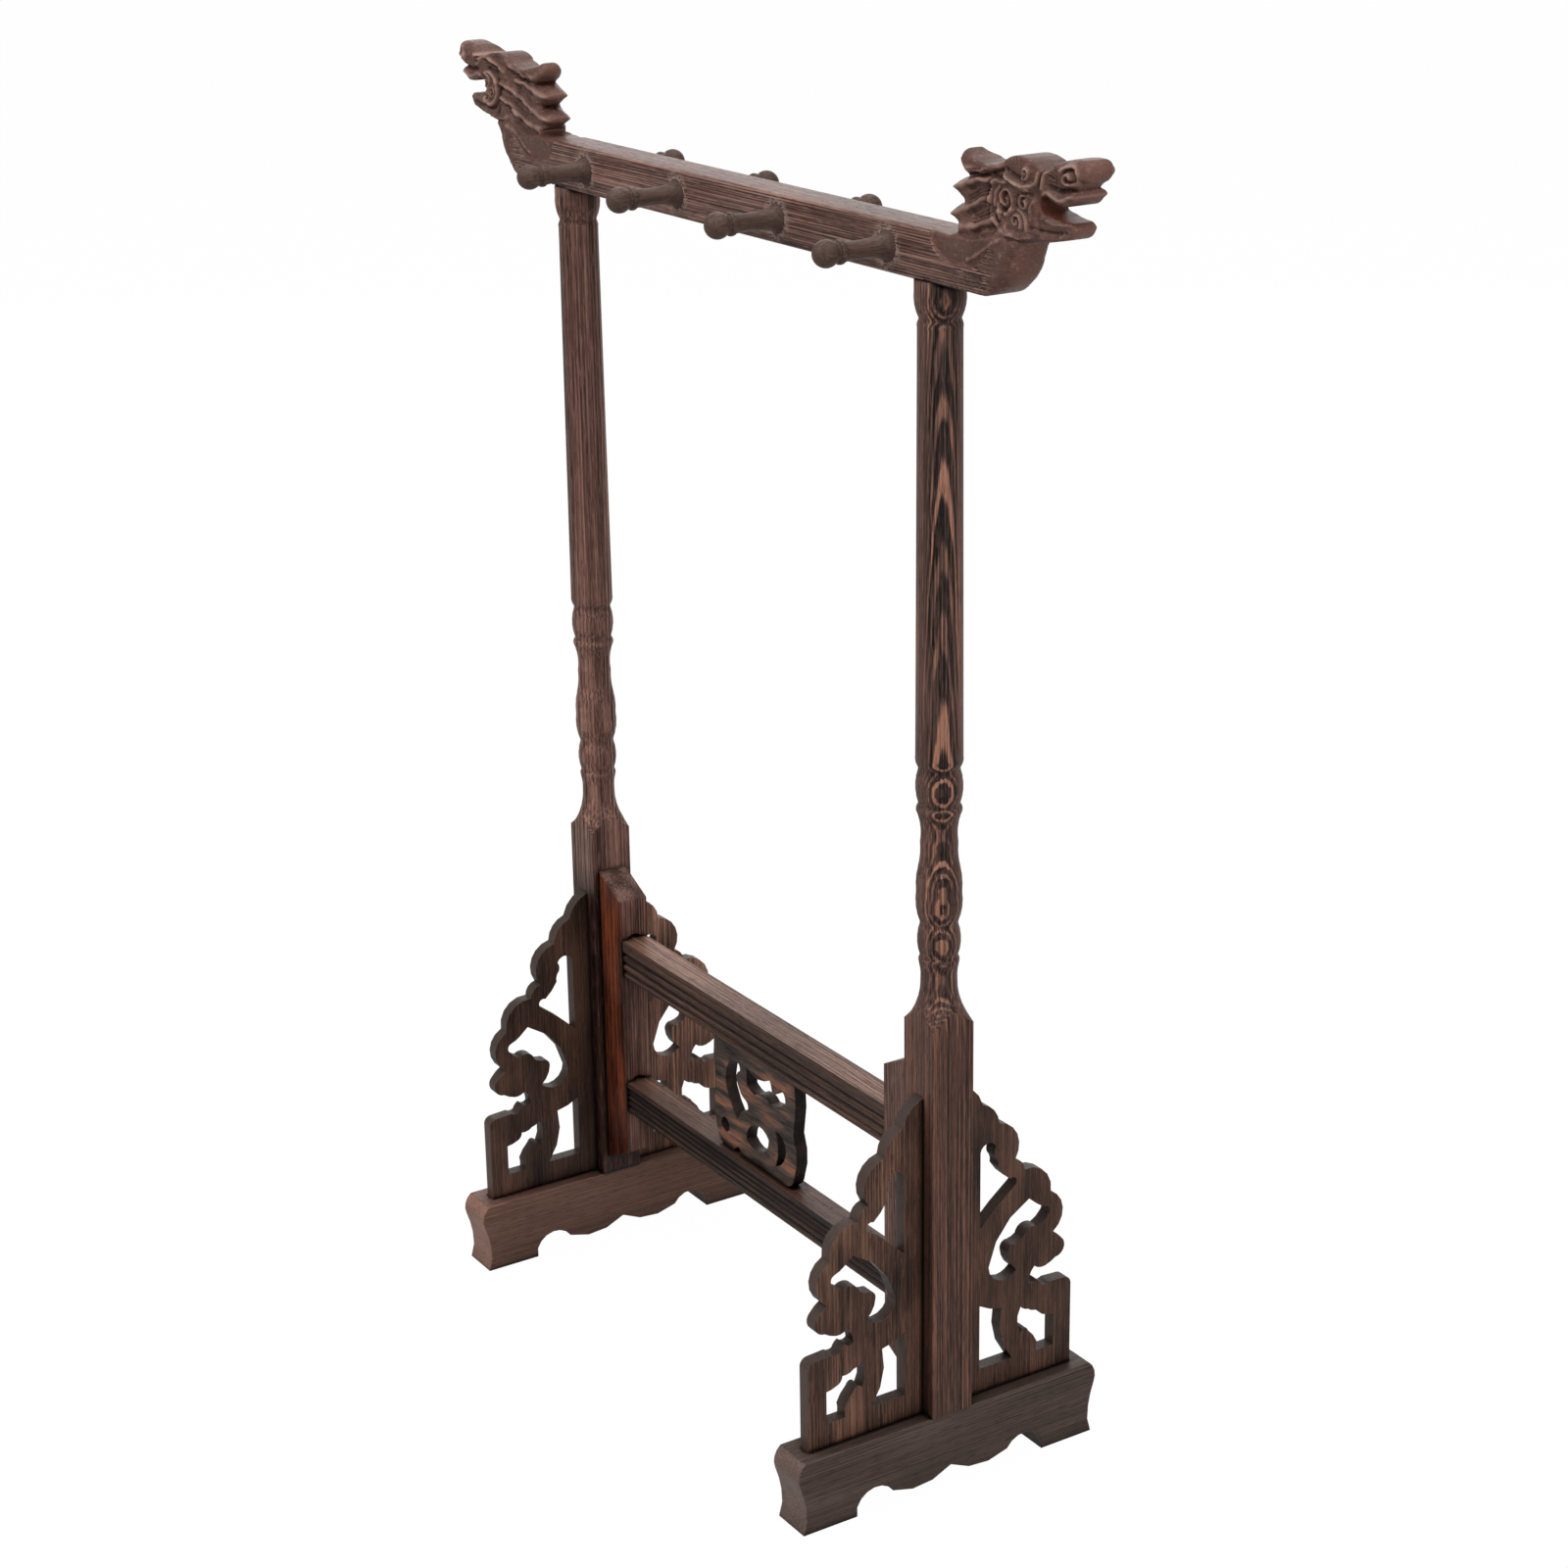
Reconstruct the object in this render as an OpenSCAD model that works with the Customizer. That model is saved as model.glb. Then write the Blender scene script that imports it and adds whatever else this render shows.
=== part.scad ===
// Brush rack of dark hardwood: a beam with a dragon head at each end and four pegs
// on each side, carried by two turned posts. Each post stands on a foot between two
// pierced spandrels, and two moulded rails with a fret panel tie the posts together.
// X runs along the beam, -Y is the front and Z is up from the table.

/* [Frame] */
// Distance between the axes of the two posts
post_spacing = 200; // [170:1:260]
// Height of the beam's underside above the table
beam_bottom = 370; // [320:1:440]
// Clearance on each side of a glued joint
fit_gap = 0.1; // [0.05:0.05:0.2]

/* [Feet] */
// Length of a foot, front to back
foot_len = 110; // [104:1:150]
// Thickness of a foot
foot_thick = 14; // [12:0.5:20]
// Height of a foot
foot_h = 24.5; // [22:0.5:32]
// Length of the flat toe under each end of a foot
toe_len = 19.5; // [14:0.5:24]
// Rise of the arch beside a toe
arch_rise = 7.7; // [5:0.1:10]
// How far the end of a foot is drawn in at its waist
waist_depth = 2; // [1:0.1:4]

/* [Posts] */
// Side of the square lower part of a post
post_side = 14.7; // [13:0.1:18]
// Height at which the corners of the square part end
square_top = 152; // [146:1:180]
// Height of the beads and the vase, from the square part to the shaft
turning_h = 82; // [74:1:95]
// Height of the capital under the beam
capital_h = 13.2; // [10:0.1:16]
// Diameter of the long shaft at its lower end
shaft_dia = 13.8; // [12:0.1:16]
// Diameter of the long shaft at its upper end
shaft_top_dia = 12.7; // [11:0.1:15]
// Diameter of the capital under the beam
capital_dia = 14.4; // [12:0.1:16]
// Diameter of the large bead and the belly of the vase below the shaft
bead_dia = 13.8; // [12:0.1:16]
// Diameter of the narrow necks
neck_dia = 10.8; // [9:0.1:12]
// Depth of the turned grooves
groove_depth = 0.8; // [0.4:0.1:1.2]
// Diameter of the round tenon at the top of a post
top_tenon_dia = 8; // [6:0.1:9]
// Length of the round tenon at the top of a post
top_tenon_len = 10; // [6:0.5:11]
// Side of the square tenon at the bottom of a post
foot_tenon_side = 8.5; // [6:0.1:10]
// Length of the square tenon at the bottom of a post
foot_tenon_len = 12; // [8:0.5:14]

/* [Spandrels] */
// Reach of a spandrel from the face of its post
spandrel_reach = 41.4; // [34:0.2:44]
// Height of a spandrel above its foot
spandrel_h = 105; // [90:1:115]
// Thickness of a spandrel
spandrel_thick = 4.4; // [3:0.1:6]
// Depth of the grooves that seat a spandrel in the post and the foot
seat_depth = 1.5; // [1:0.1:2]

/* [Rails] */
// Height of the underside of the upper rail
upper_rail_bottom = 104; // [98:0.5:120]
// Height of the upper rail's section
upper_rail_h = 13.5; // [11:0.1:17]
// Height of the underside of the lower rail
lower_rail_bottom = 53.3; // [50:0.5:60]
// Height of the lower rail's section
lower_rail_h = 11.4; // [10:0.1:14]
// Width of both rails, front to back
rail_w = 9.6; // [8:0.1:10]
// Depth of the grooves between the mouldings on the rails
reed_depth = 1.1; // [0.4:0.1:1.3]
// Thickness of the tenons at the ends of the rails
rail_tenon_thick = 6.6; // [5:0.1:7]
// Length of rail tenon that enters a post
rail_tenon_len = 4; // [2:0.1:5]

/* [Stiles] */
// Thickness of a stile, along the rails
stile_thick = 13.8; // [10:0.1:16]
// Width of a stile, front to back
stile_w = 10.4; // [9.6:0.1:13]
// Height of a stile above the upper rail, at the post
stile_rise = 21; // [16:0.5:26]
// Height of the stile's lower end above the foot, at the post
stile_lift = 6.5; // [2:0.5:10]
// Height of the bevels at the ends of a stile
stile_bevel = 7; // [4:0.5:9]
// Free height above and below a rail in the stile's slot
slot_free = 1.6; // [1:0.1:2.5]

/* [Fret panel] */
// Width of the fret panel
panel_w = 50; // [40:1:60]
// Thickness of the fret panel
panel_thick = 4.4; // [3.4:0.1:6]
// Thickness of the panel's tongues
tongue_thick = 2.4; // [1.6:0.1:3]
// Depth to which the tongues enter the rails
tongue_len = 2; // [1:0.1:3]

/* [Beam] */
// Height of the beam
beam_h = 14.3; // [13:0.1:16]
// Thickness of the beam
beam_thick = 12.5; // [11.5:0.1:16]
// Distance from a post's axis to the back of the dragon head's mane
head_start = 10; // [8:0.5:30]
// Length of a dragon head from the back of the mane to the snout
head_len = 59.2; // [50:0.2:70]
// Height of a dragon head above the beam's underside
head_h = 40.2; // [36:0.2:46]
// Thickness of the mane and horns
mane_thick = 8.6; // [7:0.1:10]
// Thickness of the snout and brow
snout_thick = 10.4; // [9:0.1:12]

/* [Pegs] */
// Distance from a post's axis to the outermost pegs
peg_inset = 16.6; // [14:0.1:30]
// Length of a peg outside the beam
peg_len = 23.6; // [20:0.1:30]
// Diameter of a peg's ball end
peg_ball_dia = 7.8; // [6.8:0.1:9]
// Diameter of the flared foot of a peg
peg_flare_dia = 7.5; // [6.8:0.1:10]
// Diameter of a peg at its waist
peg_waist_dia = 5.9; // [4.5:0.1:6.4]
// Diameter of a peg's tenon
peg_tenon_dia = 5; // [3.5:0.1:6]
// Length of a peg's tenon
peg_tenon_len = 4.5; // [3:0.1:5]

/* [Hidden] */

$fn = 96;
beam_colour = "#5c4238";
post_colour = "#593d33";
dark_colour = "#4a342d";
red_colour = "#6b3a26";
peg_colour = "#4a3a35";

post_x = post_spacing / 2;
post_face = post_side / 2;
post_inner_x = post_x - post_face;
stile_inner_x = post_inner_x - stile_thick;
upper_rail_top = upper_rail_bottom + upper_rail_h;
lower_rail_top = lower_rail_bottom + lower_rail_h;
panel_h = upper_rail_bottom - lower_rail_top;
peg_count = 4;
peg_pitch = (post_spacing - 2 * peg_inset) / (peg_count - 1);
peg_z = beam_bottom + beam_h / 2;
slot_w = rail_tenon_thick + 2 * fit_gap;
// Spare depth at the bottom of a blind mortise
mortise_spare = 0.4;
// Reach of a cutter past the face that it opens
cut = 1;

// Points of an arc from p to q, without q. The bulge is the tangent of a quarter of the
// arc's angle, and is positive where the arc swells to the right of the way from p to q.
function arc_points(p, q, bulge, step) =
    bulge == 0 ? [p] :
    let (
        chord = q - p,
        half = norm(chord) / 2,
        side = [chord.y, -chord.x] / norm(chord),
        radius = half * (1 + bulge * bulge) / (2 * bulge),
        centre = (p + q) / 2 - side * (radius - bulge * half),
        start = atan2(p.y - centre.y, p.x - centre.x),
        sweep = 4 * atan(bulge),
        count = max(2, ceil(abs(sweep) / step))
    )
    [for (i = [0 : count - 1]) centre + abs(radius) * [cos(start + sweep * i / count), sin(start + sweep * i / count)]];

// Closed outline from corners [x, y] or [x, y, bulge of the edge to the next corner]
function outline(corners, step = 22) = [
    for (i = [0 : len(corners) - 1])
        let (
            a = corners[i],
            b = corners[(i + 1) % len(corners)]
        )
        each arc_points([a.x, a.y], [b.x, b.y], bulge_of(a), step)
];

// The same corners stretched by a factor each way, with the bulges kept
function stretch(corners, kx, ky) = [
    for (c = corners) len(c) > 2 ? [c.x * kx, c.y * ky, c.z] : [c.x * kx, c.y * ky]
];

// Bulge of the edge after a corner
function bulge_of(c) = len(c) > 2 ? c.z : 0;

// A closed outline from its right half, which runs from the axis below to the axis above
function both_sides(half) =
    let (last = len(half) - 1)
    concat(
        [for (i = [0 : last - 1]) half[i]],
        [for (i = [last : -1 : 1]) [-half[i].x, half[i].y, bulge_of(half[i - 1])]]
    );

// An outline drawn on the YZ plane, as thick as t and centred on X = 0
module plate_across(t) {
    rotate([90, 0, 90])
        linear_extrude(t, center = true)
            children();
}

// An outline drawn on the XZ plane, as thick as t and centred on Y = 0
module plate_along(t) {
    rotate([90, 0, 0])
        linear_extrude(t, center = true)
            children();
}

// Feet

// How far a toe stops short of the end of its foot
toe_inset = 1;
toe_end = foot_len / 2 - toe_inset;
toe_start = toe_end - toe_len;
foot_half = [
    [0, arch_rise * 0.8, 0.26],
    [toe_start * 0.62, arch_rise * 0.58, -0.62],
    [toe_start, arch_rise * 0.42],
    [toe_start, 0],
    [toe_end, 0, -0.16],
    [foot_len / 2 - waist_depth, foot_h * 0.38, -0.06],
    [foot_len / 2, foot_h * 0.7, 0.34],
    [foot_len / 2 - waist_depth, foot_h],
    [0, foot_h]
];

module foot() {
    mortise_side = foot_tenon_side + 2 * fit_gap;
    groove_w = spandrel_thick + 2 * fit_gap;
    groove_len = 2 * (post_face + spandrel_reach + fit_gap);
    difference() {
        plate_across(foot_thick)
            polygon(outline(both_sides(foot_half)));
        translate([-mortise_side / 2, -mortise_side / 2, foot_h - foot_tenon_len - mortise_spare])
            cube([mortise_side, mortise_side, foot_tenon_len + mortise_spare + cut]);
        translate([-groove_w / 2, -groove_len / 2, foot_h - seat_depth])
            cube([groove_w, groove_len, seat_depth + cut]);
    }
}

// Posts

// Radius that clears the corners of the square part
flare_r = post_side * sqrt(2) / 2 + 0.2;
neck_r = neck_dia / 2;
bead_r = bead_dia / 2;
small_bead_r = bead_r - 0.5;
groove_r = bead_r - groove_depth;
small_groove_r = small_bead_r - groove_depth;
shaft_r = shaft_dia / 2;
shaft_top_r = shaft_top_dia / 2;
capital_r = capital_dia / 2;

// Height of a point of the beads and the vase, which are drawn 82 high
function turned(z) = square_top + z * turning_h / 82;

// Bulge of a bead that swells by the depth of a groove between two of these points
function bead_bulge(low, high) = 2 * groove_depth / (turned(high) - turned(low));

neck_z = turned(13.8);
// Half of the turned outline from the foot to the beam: [radius, height, bulge]
post_profile = [
    [0, foot_h],
    [flare_r, foot_h],
    [flare_r, square_top, -0.1],
    [post_face * 1.12, turned(2.4), -0.14],
    [neck_r, neck_z, -0.08],
    [small_groove_r + 0.2, turned(18.3)],
    [small_groove_r + 0.4, turned(19.4), 0.2],
    [small_groove_r, turned(20.7)],
    [small_groove_r, turned(21.2), bead_bulge(21.2, 30.8)],
    [small_groove_r, turned(30.8)],
    [small_groove_r, turned(31.5), 0.13],
    [bead_r - 0.2, turned(40.7), 0.08],
    [neck_r + 0.7, turned(48.5), -0.08],
    [neck_r + 0.15, turned(56), -0.12],
    [groove_r + 0.1, turned(64.4)],
    [groove_r + 0.5, turned(65.4), 0.3],
    [groove_r, turned(67.4)],
    [groove_r, turned(68), bead_bulge(68, 78)],
    [groove_r, turned(78)],
    [groove_r, turned(78.8), 0.2],
    [shaft_r, turned(82)],
    [shaft_top_r, beam_bottom - capital_h, 0.2],
    [shaft_top_r - groove_depth / 2, beam_bottom - capital_h * 0.83],
    [shaft_top_r - groove_depth / 2, beam_bottom - capital_h * 0.79, 0.14],
    [capital_r, beam_bottom - capital_h * 0.23],
    [capital_r, beam_bottom],
    [0, beam_bottom]
];

// Right-hand post on its own axis, with the rails on its -X side
module post() {
    groove_w = spandrel_thick + 2 * fit_gap;
    difference() {
        union() {
            intersection() {
                rotate_extrude()
                    polygon(outline(post_profile, 9));
                union() {
                    translate([-post_face, -post_face, foot_h])
                        cube([post_side, post_side, neck_z - foot_h]);
                    translate([-flare_r, -flare_r, neck_z])
                        cube([2 * flare_r, 2 * flare_r, beam_bottom - neck_z]);
                }
            }
            translate([0, 0, beam_bottom - cut])
                cylinder(d = top_tenon_dia, h = top_tenon_len + cut);
            translate([-foot_tenon_side / 2, -foot_tenon_side / 2, foot_h - foot_tenon_len])
                cube([foot_tenon_side, foot_tenon_side, foot_tenon_len + cut]);
        }
        for (front = [-1, 1])
            translate([-groove_w / 2, front > 0 ? post_face - seat_depth : -post_face - cut, foot_h - cut])
                cube([groove_w, seat_depth + cut, spandrel_h + fit_gap + cut]);
        rail_mortise(lower_rail_bottom, lower_rail_h);
        rail_mortise(upper_rail_bottom, upper_rail_h);
    }
}

// Height that a rail's inner tenon loses at the top and at the bottom
tenon_shoulder = 2;

module rail_mortise(bottom, rail_h) {
    translate([-post_face - cut, -slot_w / 2, bottom + tenon_shoulder - fit_gap])
        cube([cut + rail_tenon_len + mortise_spare, slot_w, rail_h - 2 * tenon_shoulder + 2 * fit_gap]);
}

// Spandrels, drawn on a grid of 40.4 by 106 from the post's face and the foot's top

spandrel_kx = spandrel_reach / 40.4;
spandrel_ky = spandrel_h / 106;
// Scalloped edge, from the lower outer corner up to the post
spandrel_edge = [
    [40.4, 0],
    [40.4, 27.8, 0.35],
    [38.2, 30.2],
    [32.2, 30.6, -0.3],
    [29.4, 30.4, 0.2],
    [27.4, 32.8, -0.5],
    [24.4, 32.6, -0.2],
    [26.6, 37.7, 0.25],
    [30.6, 36.6, 0.1],
    [34.4, 38.4, 0.7],
    [36.6, 44.6, 0.1],
    [33.4, 47.5, 0.6],
    [32.4, 61.7, 0.5],
    [22.6, 72, 0.35],
    [19, 76.4, 0.55],
    [13.1, 90.2, 0.32],
    [7.1, 98, 0.26],
    [0, 106]
];
upper_opening = [
    [6.4, 56.6, -0.04],
    [19.4, 68, 0.8],
    [17.2, 70.4, -0.1],
    [12.7, 75.8, 0.25],
    [11.6, 79.6, -0.25],
    [12, 82.8, 0.75],
    [6.4, 82.2]
];
crescent_opening = [
    [24.4, 61.6, 0.26],
    [9.6, 42.4, 0.4],
    [15.4, 36.4, 0.2],
    [19.9, 38.6, -0.22],
    [16.6, 45, -0.5],
    [19.2, 47.6, 0.15],
    [22.2, 48.8, -0.25],
    [24.2, 51.4, -0.25],
    [28, 51, 0.15],
    [31.4, 53.8, 0.6],
    [30.8, 57, -0.1],
    [27.4, 58.9]
];
lower_opening = [
    [6.4, 8.2],
    [18.4, 8.2, -0.24],
    [14.4, 26.9, -0.12],
    [6.4, 30]
];
curl_opening = [
    [27.6, 7.8],
    [34, 7.8],
    [34, 18.6, -0.1],
    [30.4, 19.6, -0.35],
    [28.4, 22.3, -0.25],
    [24.4, 23.4, -0.2],
    [21.6, 25, 0.28],
    [21.6, 16, -0.8],
    [24.4, 16, -0.12],
    [27.8, 11, 0.1]
];
spandrel_openings = [upper_opening, crescent_opening, lower_opening, curl_opening];

module spandrel_outline() {
    inset = seat_depth - fit_gap;
    seat = [[0, spandrel_h], [-inset, spandrel_h], [-inset, -inset], [spandrel_reach, -inset]];
    difference() {
        polygon(outline(concat(stretch(spandrel_edge, spandrel_kx, spandrel_ky), seat)));
        for (hole = spandrel_openings)
            polygon(outline(stretch(hole, spandrel_kx, spandrel_ky)));
    }
}

// Spandrel behind a post on the post's own axis
module back_spandrel() {
    translate([0, post_face, foot_h])
        plate_across(spandrel_thick)
            spandrel_outline();
}

module front_spandrel() {
    mirror([0, 1, 0])
        back_spandrel();
}

// Stiles

// Slot with round ends through a stile, on the stile's own X
module stile_slot(bottom, rail_h) {
    low = bottom - slot_free + slot_w / 2;
    high = bottom + rail_h + slot_free - slot_w / 2;
    for (z = [low, high])
        translate([-stile_thick - cut, 0, z])
            rotate([0, 90, 0])
                cylinder(d = slot_w, h = stile_thick + 2 * cut);
    translate([-stile_thick - cut, -slot_w / 2, low])
        cube([stile_thick + 2 * cut, slot_w, high - low]);
}

// Right-hand stile, with X = 0 on the post's face
module stile() {
    top = upper_rail_top + stile_rise;
    bottom = foot_h + stile_lift;
    difference() {
        plate_along(stile_w)
            polygon([
                [0, bottom],
                [0, top],
                [-stile_thick, top - stile_bevel],
                [-stile_thick, bottom + stile_bevel]
            ]);
        stile_slot(lower_rail_bottom, lower_rail_h);
        stile_slot(upper_rail_bottom, upper_rail_h);
    }
}

// Rails

// Half width of the small groove between two mouldings
reed_gap = 0.5;

// Front half of a moulded section: grooves at the given heights with a bead between each
// two, a lip below the first groove and a plain band above the last
function rail_side(rail_h, grooves) = concat(
    [[0, 0], [rail_w / 2 - reed_depth / 2, 0, 0.2], [rail_w / 2 - reed_depth / 2, grooves[0] - reed_gap]],
    [for (i = [0 : len(grooves) - 2]) each [
        [rail_w / 2 - reed_depth, grooves[i]],
        [rail_w / 2 - reed_depth / 2, grooves[i] + reed_gap, reed_depth / (grooves[i + 1] - grooves[i])],
        [rail_w / 2 - reed_depth / 2, grooves[i + 1] - reed_gap]
    ]],
    [
        [rail_w / 2 - reed_depth, grooves[len(grooves) - 1]],
        [rail_w / 2, grooves[len(grooves) - 1] + 2 * reed_gap],
        [rail_w / 2, rail_h],
        [0, rail_h]
    ]
);

// Moulded rail with a tenon at each end that passes its stile and enters its post
module rail(bottom, rail_h, grooves) {
    through = 2 * (post_inner_x - fit_gap);
    total = 2 * (post_inner_x + rail_tenon_len);
    inner_h = rail_h - 2 * tenon_shoulder;
    translate([0, 0, bottom]) {
        plate_across(2 * stile_inner_x)
            polygon(outline(both_sides(rail_side(rail_h, grooves))));
        translate([-through / 2, -rail_tenon_thick / 2, 0])
            cube([through, rail_tenon_thick, rail_h]);
        translate([-total / 2, -rail_tenon_thick / 2, tenon_shoulder])
            cube([total, rail_tenon_thick, inner_h]);
    }
}

// Groove in a rail for a tongue of the fret panel, reaching from z by the tongue's length
module tongue_groove(z) {
    groove_w = tongue_thick + 2 * fit_gap;
    groove_len = panel_tongue_w + 2 * fit_gap;
    translate([-groove_len / 2, -groove_w / 2, z])
        cube([groove_len, groove_w, tongue_len + mortise_spare + cut]);
}

// Fret panel, drawn on a grid of 50 by 39.3 from its middle and the lower rail's top

panel_kx = panel_w / 50;
panel_ky = panel_h / 39.3;
panel_tongue_w = panel_w * 0.72;
panel_edge = [
    [-20, 0],
    [-12.6, 0, -0.2],
    [-10.2, 2.2, -0.2],
    [-7.8, 0],
    [19.4, 0, 0.3],
    [23.4, 4.6, 0.24],
    [23.3, 19.8, 0.11],
    [24.2, 39.3],
    [-24.2, 39.3, 0.11],
    [-23.3, 19.8, 0.24],
    [-23.4, 4.6, 0.3]
];
comma_opening = [
    [-9, 32.4, 0.3],
    [-14.4, 32.2, 0.25],
    [-17, 21, 0.1],
    [-10.8, 12.3, 0.1],
    [-8.6, 15.4, -0.2],
    [-4.6, 17.4, 0.6],
    [-5.4, 21, -0.1],
    [-8.2, 22.4, -0.1],
    [-10.8, 27.2, -0.35],
    [-8.6, 30.2, 0.3]
];
bat_opening = [
    [-4.4, 26.8, 0.15],
    [0.2, 25.2, -0.15],
    [5.4, 27, -0.15],
    [9.3, 25.2, 0.2],
    [18.6, 29.2, 0.5],
    [16, 33, -0.1],
    [12.6, 30, -0.4],
    [10.8, 30.6, 0.1],
    [9.6, 33.8, -0.12],
    [2.4, 31.4, -0.12],
    [-4.2, 33]
];
kidney_opening = [
    [12.6, 4.6, 0.25],
    [18.7, 11.2, 0.5],
    [12.8, 17.2, -0.22]
];
oval_opening = [
    [-5.2, 7.2, 0.35],
    [3.4, 5.9, 0.35],
    [8.4, 12.2, 0.35],
    [0.4, 14.2, 0.35]
];
panel_openings = [comma_opening, bat_opening, kidney_opening, oval_opening];
panel_hole_d = 5;
panel_hole_place = [-18.2, 7.4];

module panel_outline() {
    difference() {
        polygon(outline(stretch(panel_edge, panel_kx, panel_ky)));
        for (hole = panel_openings)
            polygon(outline(stretch(hole, panel_kx, panel_ky)));
        translate([panel_hole_place.x * panel_kx, panel_hole_place.y * panel_ky])
            circle(d = panel_hole_d);
    }
}

// Beam and dragon heads

// Head outlines on a grid of 59.2 by 40.2, from the back of the mane and the beam's underside
head_kx = head_len / 59.2;
head_ky = head_h / 40.2;
head_edge = [
    [-6, 0],
    [17.5, 0, 0.1],
    [26, 3.4, 0.16],
    [31, 10.4, 0.06],
    [32.8, 14.8, -0.3],
    [35.4, 16.8, 0.06],
    [49.6, 18.8, 0.25],
    [53.4, 22, 0.3],
    [50.6, 23.4, -0.05],
    [41, 24.8, -0.5],
    [40.2, 28.2, -0.3],
    [44, 29, 0.1],
    [47.4, 27.8, 0.06],
    [51, 27.6, 0.3],
    [54.4, 30.6, 0.12],
    [54.6, 32.8, -0.3],
    [57.2, 34, 0.4],
    [58.8, 38.2, 0.35],
    [56.6, 39.8, 0.08],
    [49.6, 39, 0.1],
    [45, 36.2, -0.25],
    [40.6, 36.2, 0.1],
    [32, 38.2, 0.16],
    [25, 36.2, -0.08],
    [16, 34.2, -0.1],
    [5.8, 37, 0.5],
    [4, 33.8, 0.1],
    [8.4, 30.2, 0.12],
    [1.2, 27.6, 0.4],
    [1.4, 25.8, 0.1],
    [5.6, 23.2, 0.12],
    [0, 20.4, 0.4],
    [0.2, 18.6, 0.1],
    [4.8, 16, -0.2],
    [2, 14.2],
    [-6, 14]
];
// Full thickness: neck, chest and cheek
cheek_edge = [
    [-6, 0],
    [17.5, 0, 0.1],
    [26, 3.4, 0.16],
    [31, 10.4, 0.06],
    [32.8, 14.8, -0.3],
    [35.4, 16.8],
    [40.4, 19.4, -0.2],
    [39.2, 25.6, -0.1],
    [38.6, 31, 0.35],
    [33, 33.4, 0.3],
    [27.6, 30.4, 0.3],
    [23.6, 22.2, -0.1],
    [14, 15.6, 0.12],
    [2, 14.2],
    [-6, 14]
];
// Snout and brow, above the mouth
snout_edge = [
    [25, 36.2, -0.3],
    [28, 34, -0.15],
    [37, 31.4],
    [41, 29.8, -0.1],
    [47.4, 28.8, 0.06],
    [51, 28.4, 0.3],
    [54, 31, 0.12],
    [54.6, 32.8, -0.3],
    [57.2, 34, 0.4],
    [58.8, 38.2, 0.35],
    [56.6, 39.8, 0.08],
    [49.6, 39, 0.1],
    [45, 36.2, -0.25],
    [40.6, 36.2, 0.1],
    [32, 38.2, 0.16]
];
// Grooves between the locks of the mane: start, end and bulge of the middle line
mane_locks = [
    [[4.6, 31.6], [24, 29.8], 0.16],
    [[2.6, 26.6], [22.6, 25.6], 0.2],
    [[1.6, 19.4], [20.6, 21], 0.24]
];
lock_groove_w = 1.5;
lock_groove_depth = 0.9;
// Curls on the cheek: centre and radius of the middle of the roll
cheek_curls = [[34.4, 28.8, 2.3], [29.4, 25.2, 1.9], [34.8, 22.2, 1.9]];
curl_roll_d = 1.6;
eye_place = [37.8, 34.7];
eye_d = 3.2;
nostril_place = [52.4, 35.4];
nostril_r = 1.9;
// Scooped hollow where the neck leaves the beam
neck_hollow = [
    [-5, 9, 0.3],
    [1.6, 14.4, -0.1],
    [12, 15.2, -0.3],
    [3.4, 10.4, -0.1]
];
neck_hollow_depth = 1;

module head_plate(corners, t) {
    plate_along(t)
        polygon(outline(stretch(corners, head_kx, head_ky)));
}

// Ring-shaped roll on both faces of the head, half sunk at the given distance from Y = 0
module rolls(place, radius, face) {
    for (side = [-1, 1])
        translate([place.x * head_kx, side * face, place.y * head_ky])
            rotate([90, 0, 0])
                rotate_extrude()
                    translate([radius, 0])
                        circle(d = curl_roll_d, $fn = 24);
}

// The same cut on both faces of the head, from the given distance outwards
module both_faces(face, depth) {
    for (side = [-1, 1])
        translate([0, side * (face + cut / 2 - depth / 2), 0])
            plate_along(depth + cut)
                children();
}

module lock_groove(lock) {
    up = [0, lock_groove_w / 2];
    polygon(outline(stretch([
        [lock[0].x, lock[0].y - up.y, lock[2]],
        [lock[1].x, lock[1].y, -lock[2]],
        [lock[0].x, lock[0].y + up.y]
    ], head_kx, head_ky)));
}

// Right-hand dragon head, with X = 0 at the back of the mane and Z = 0 under the beam
module dragon_head() {
    difference() {
        union() {
            head_plate(head_edge, mane_thick);
            head_plate(snout_edge, snout_thick);
            difference() {
                head_plate(cheek_edge, beam_thick);
                both_faces(beam_thick / 2, neck_hollow_depth)
                    polygon(outline(stretch(neck_hollow, head_kx, head_ky)));
            }
            for (curl = cheek_curls)
                rolls(curl, curl.z, beam_thick / 2 - curl_roll_d / 2);
            rolls(nostril_place, nostril_r, snout_thick / 2 - curl_roll_d / 4);
            for (side = [-1, 1])
                translate([eye_place.x * head_kx, side * (snout_thick / 2 - eye_d / 6), eye_place.y * head_ky])
                    sphere(d = eye_d, $fn = 32);
        }
        for (lock = mane_locks)
            both_faces(mane_thick / 2, lock_groove_depth)
                lock_groove(lock);
    }
}

// Pegs

peg_ball_at = peg_len - peg_ball_dia / 2;
peg_collar_r = max(peg_ball_dia * 0.43, peg_waist_dia / 2 + 0.3);
peg_neck_r = peg_ball_dia * 0.35;
peg_profile = [
    [0, 0],
    [peg_flare_dia / 2, 0, -0.1],
    [peg_waist_dia / 2, peg_len * 0.4, -0.02],
    [peg_waist_dia / 2 + 0.1, peg_ball_at - peg_ball_dia * 0.68],
    [peg_collar_r, peg_ball_at - peg_ball_dia * 0.6, 0.4],
    [peg_collar_r, peg_ball_at - peg_ball_dia * 0.46],
    [peg_neck_r, peg_ball_at - peg_ball_dia * 0.38],
    [peg_neck_r, peg_ball_at],
    [0, peg_ball_at]
];

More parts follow.
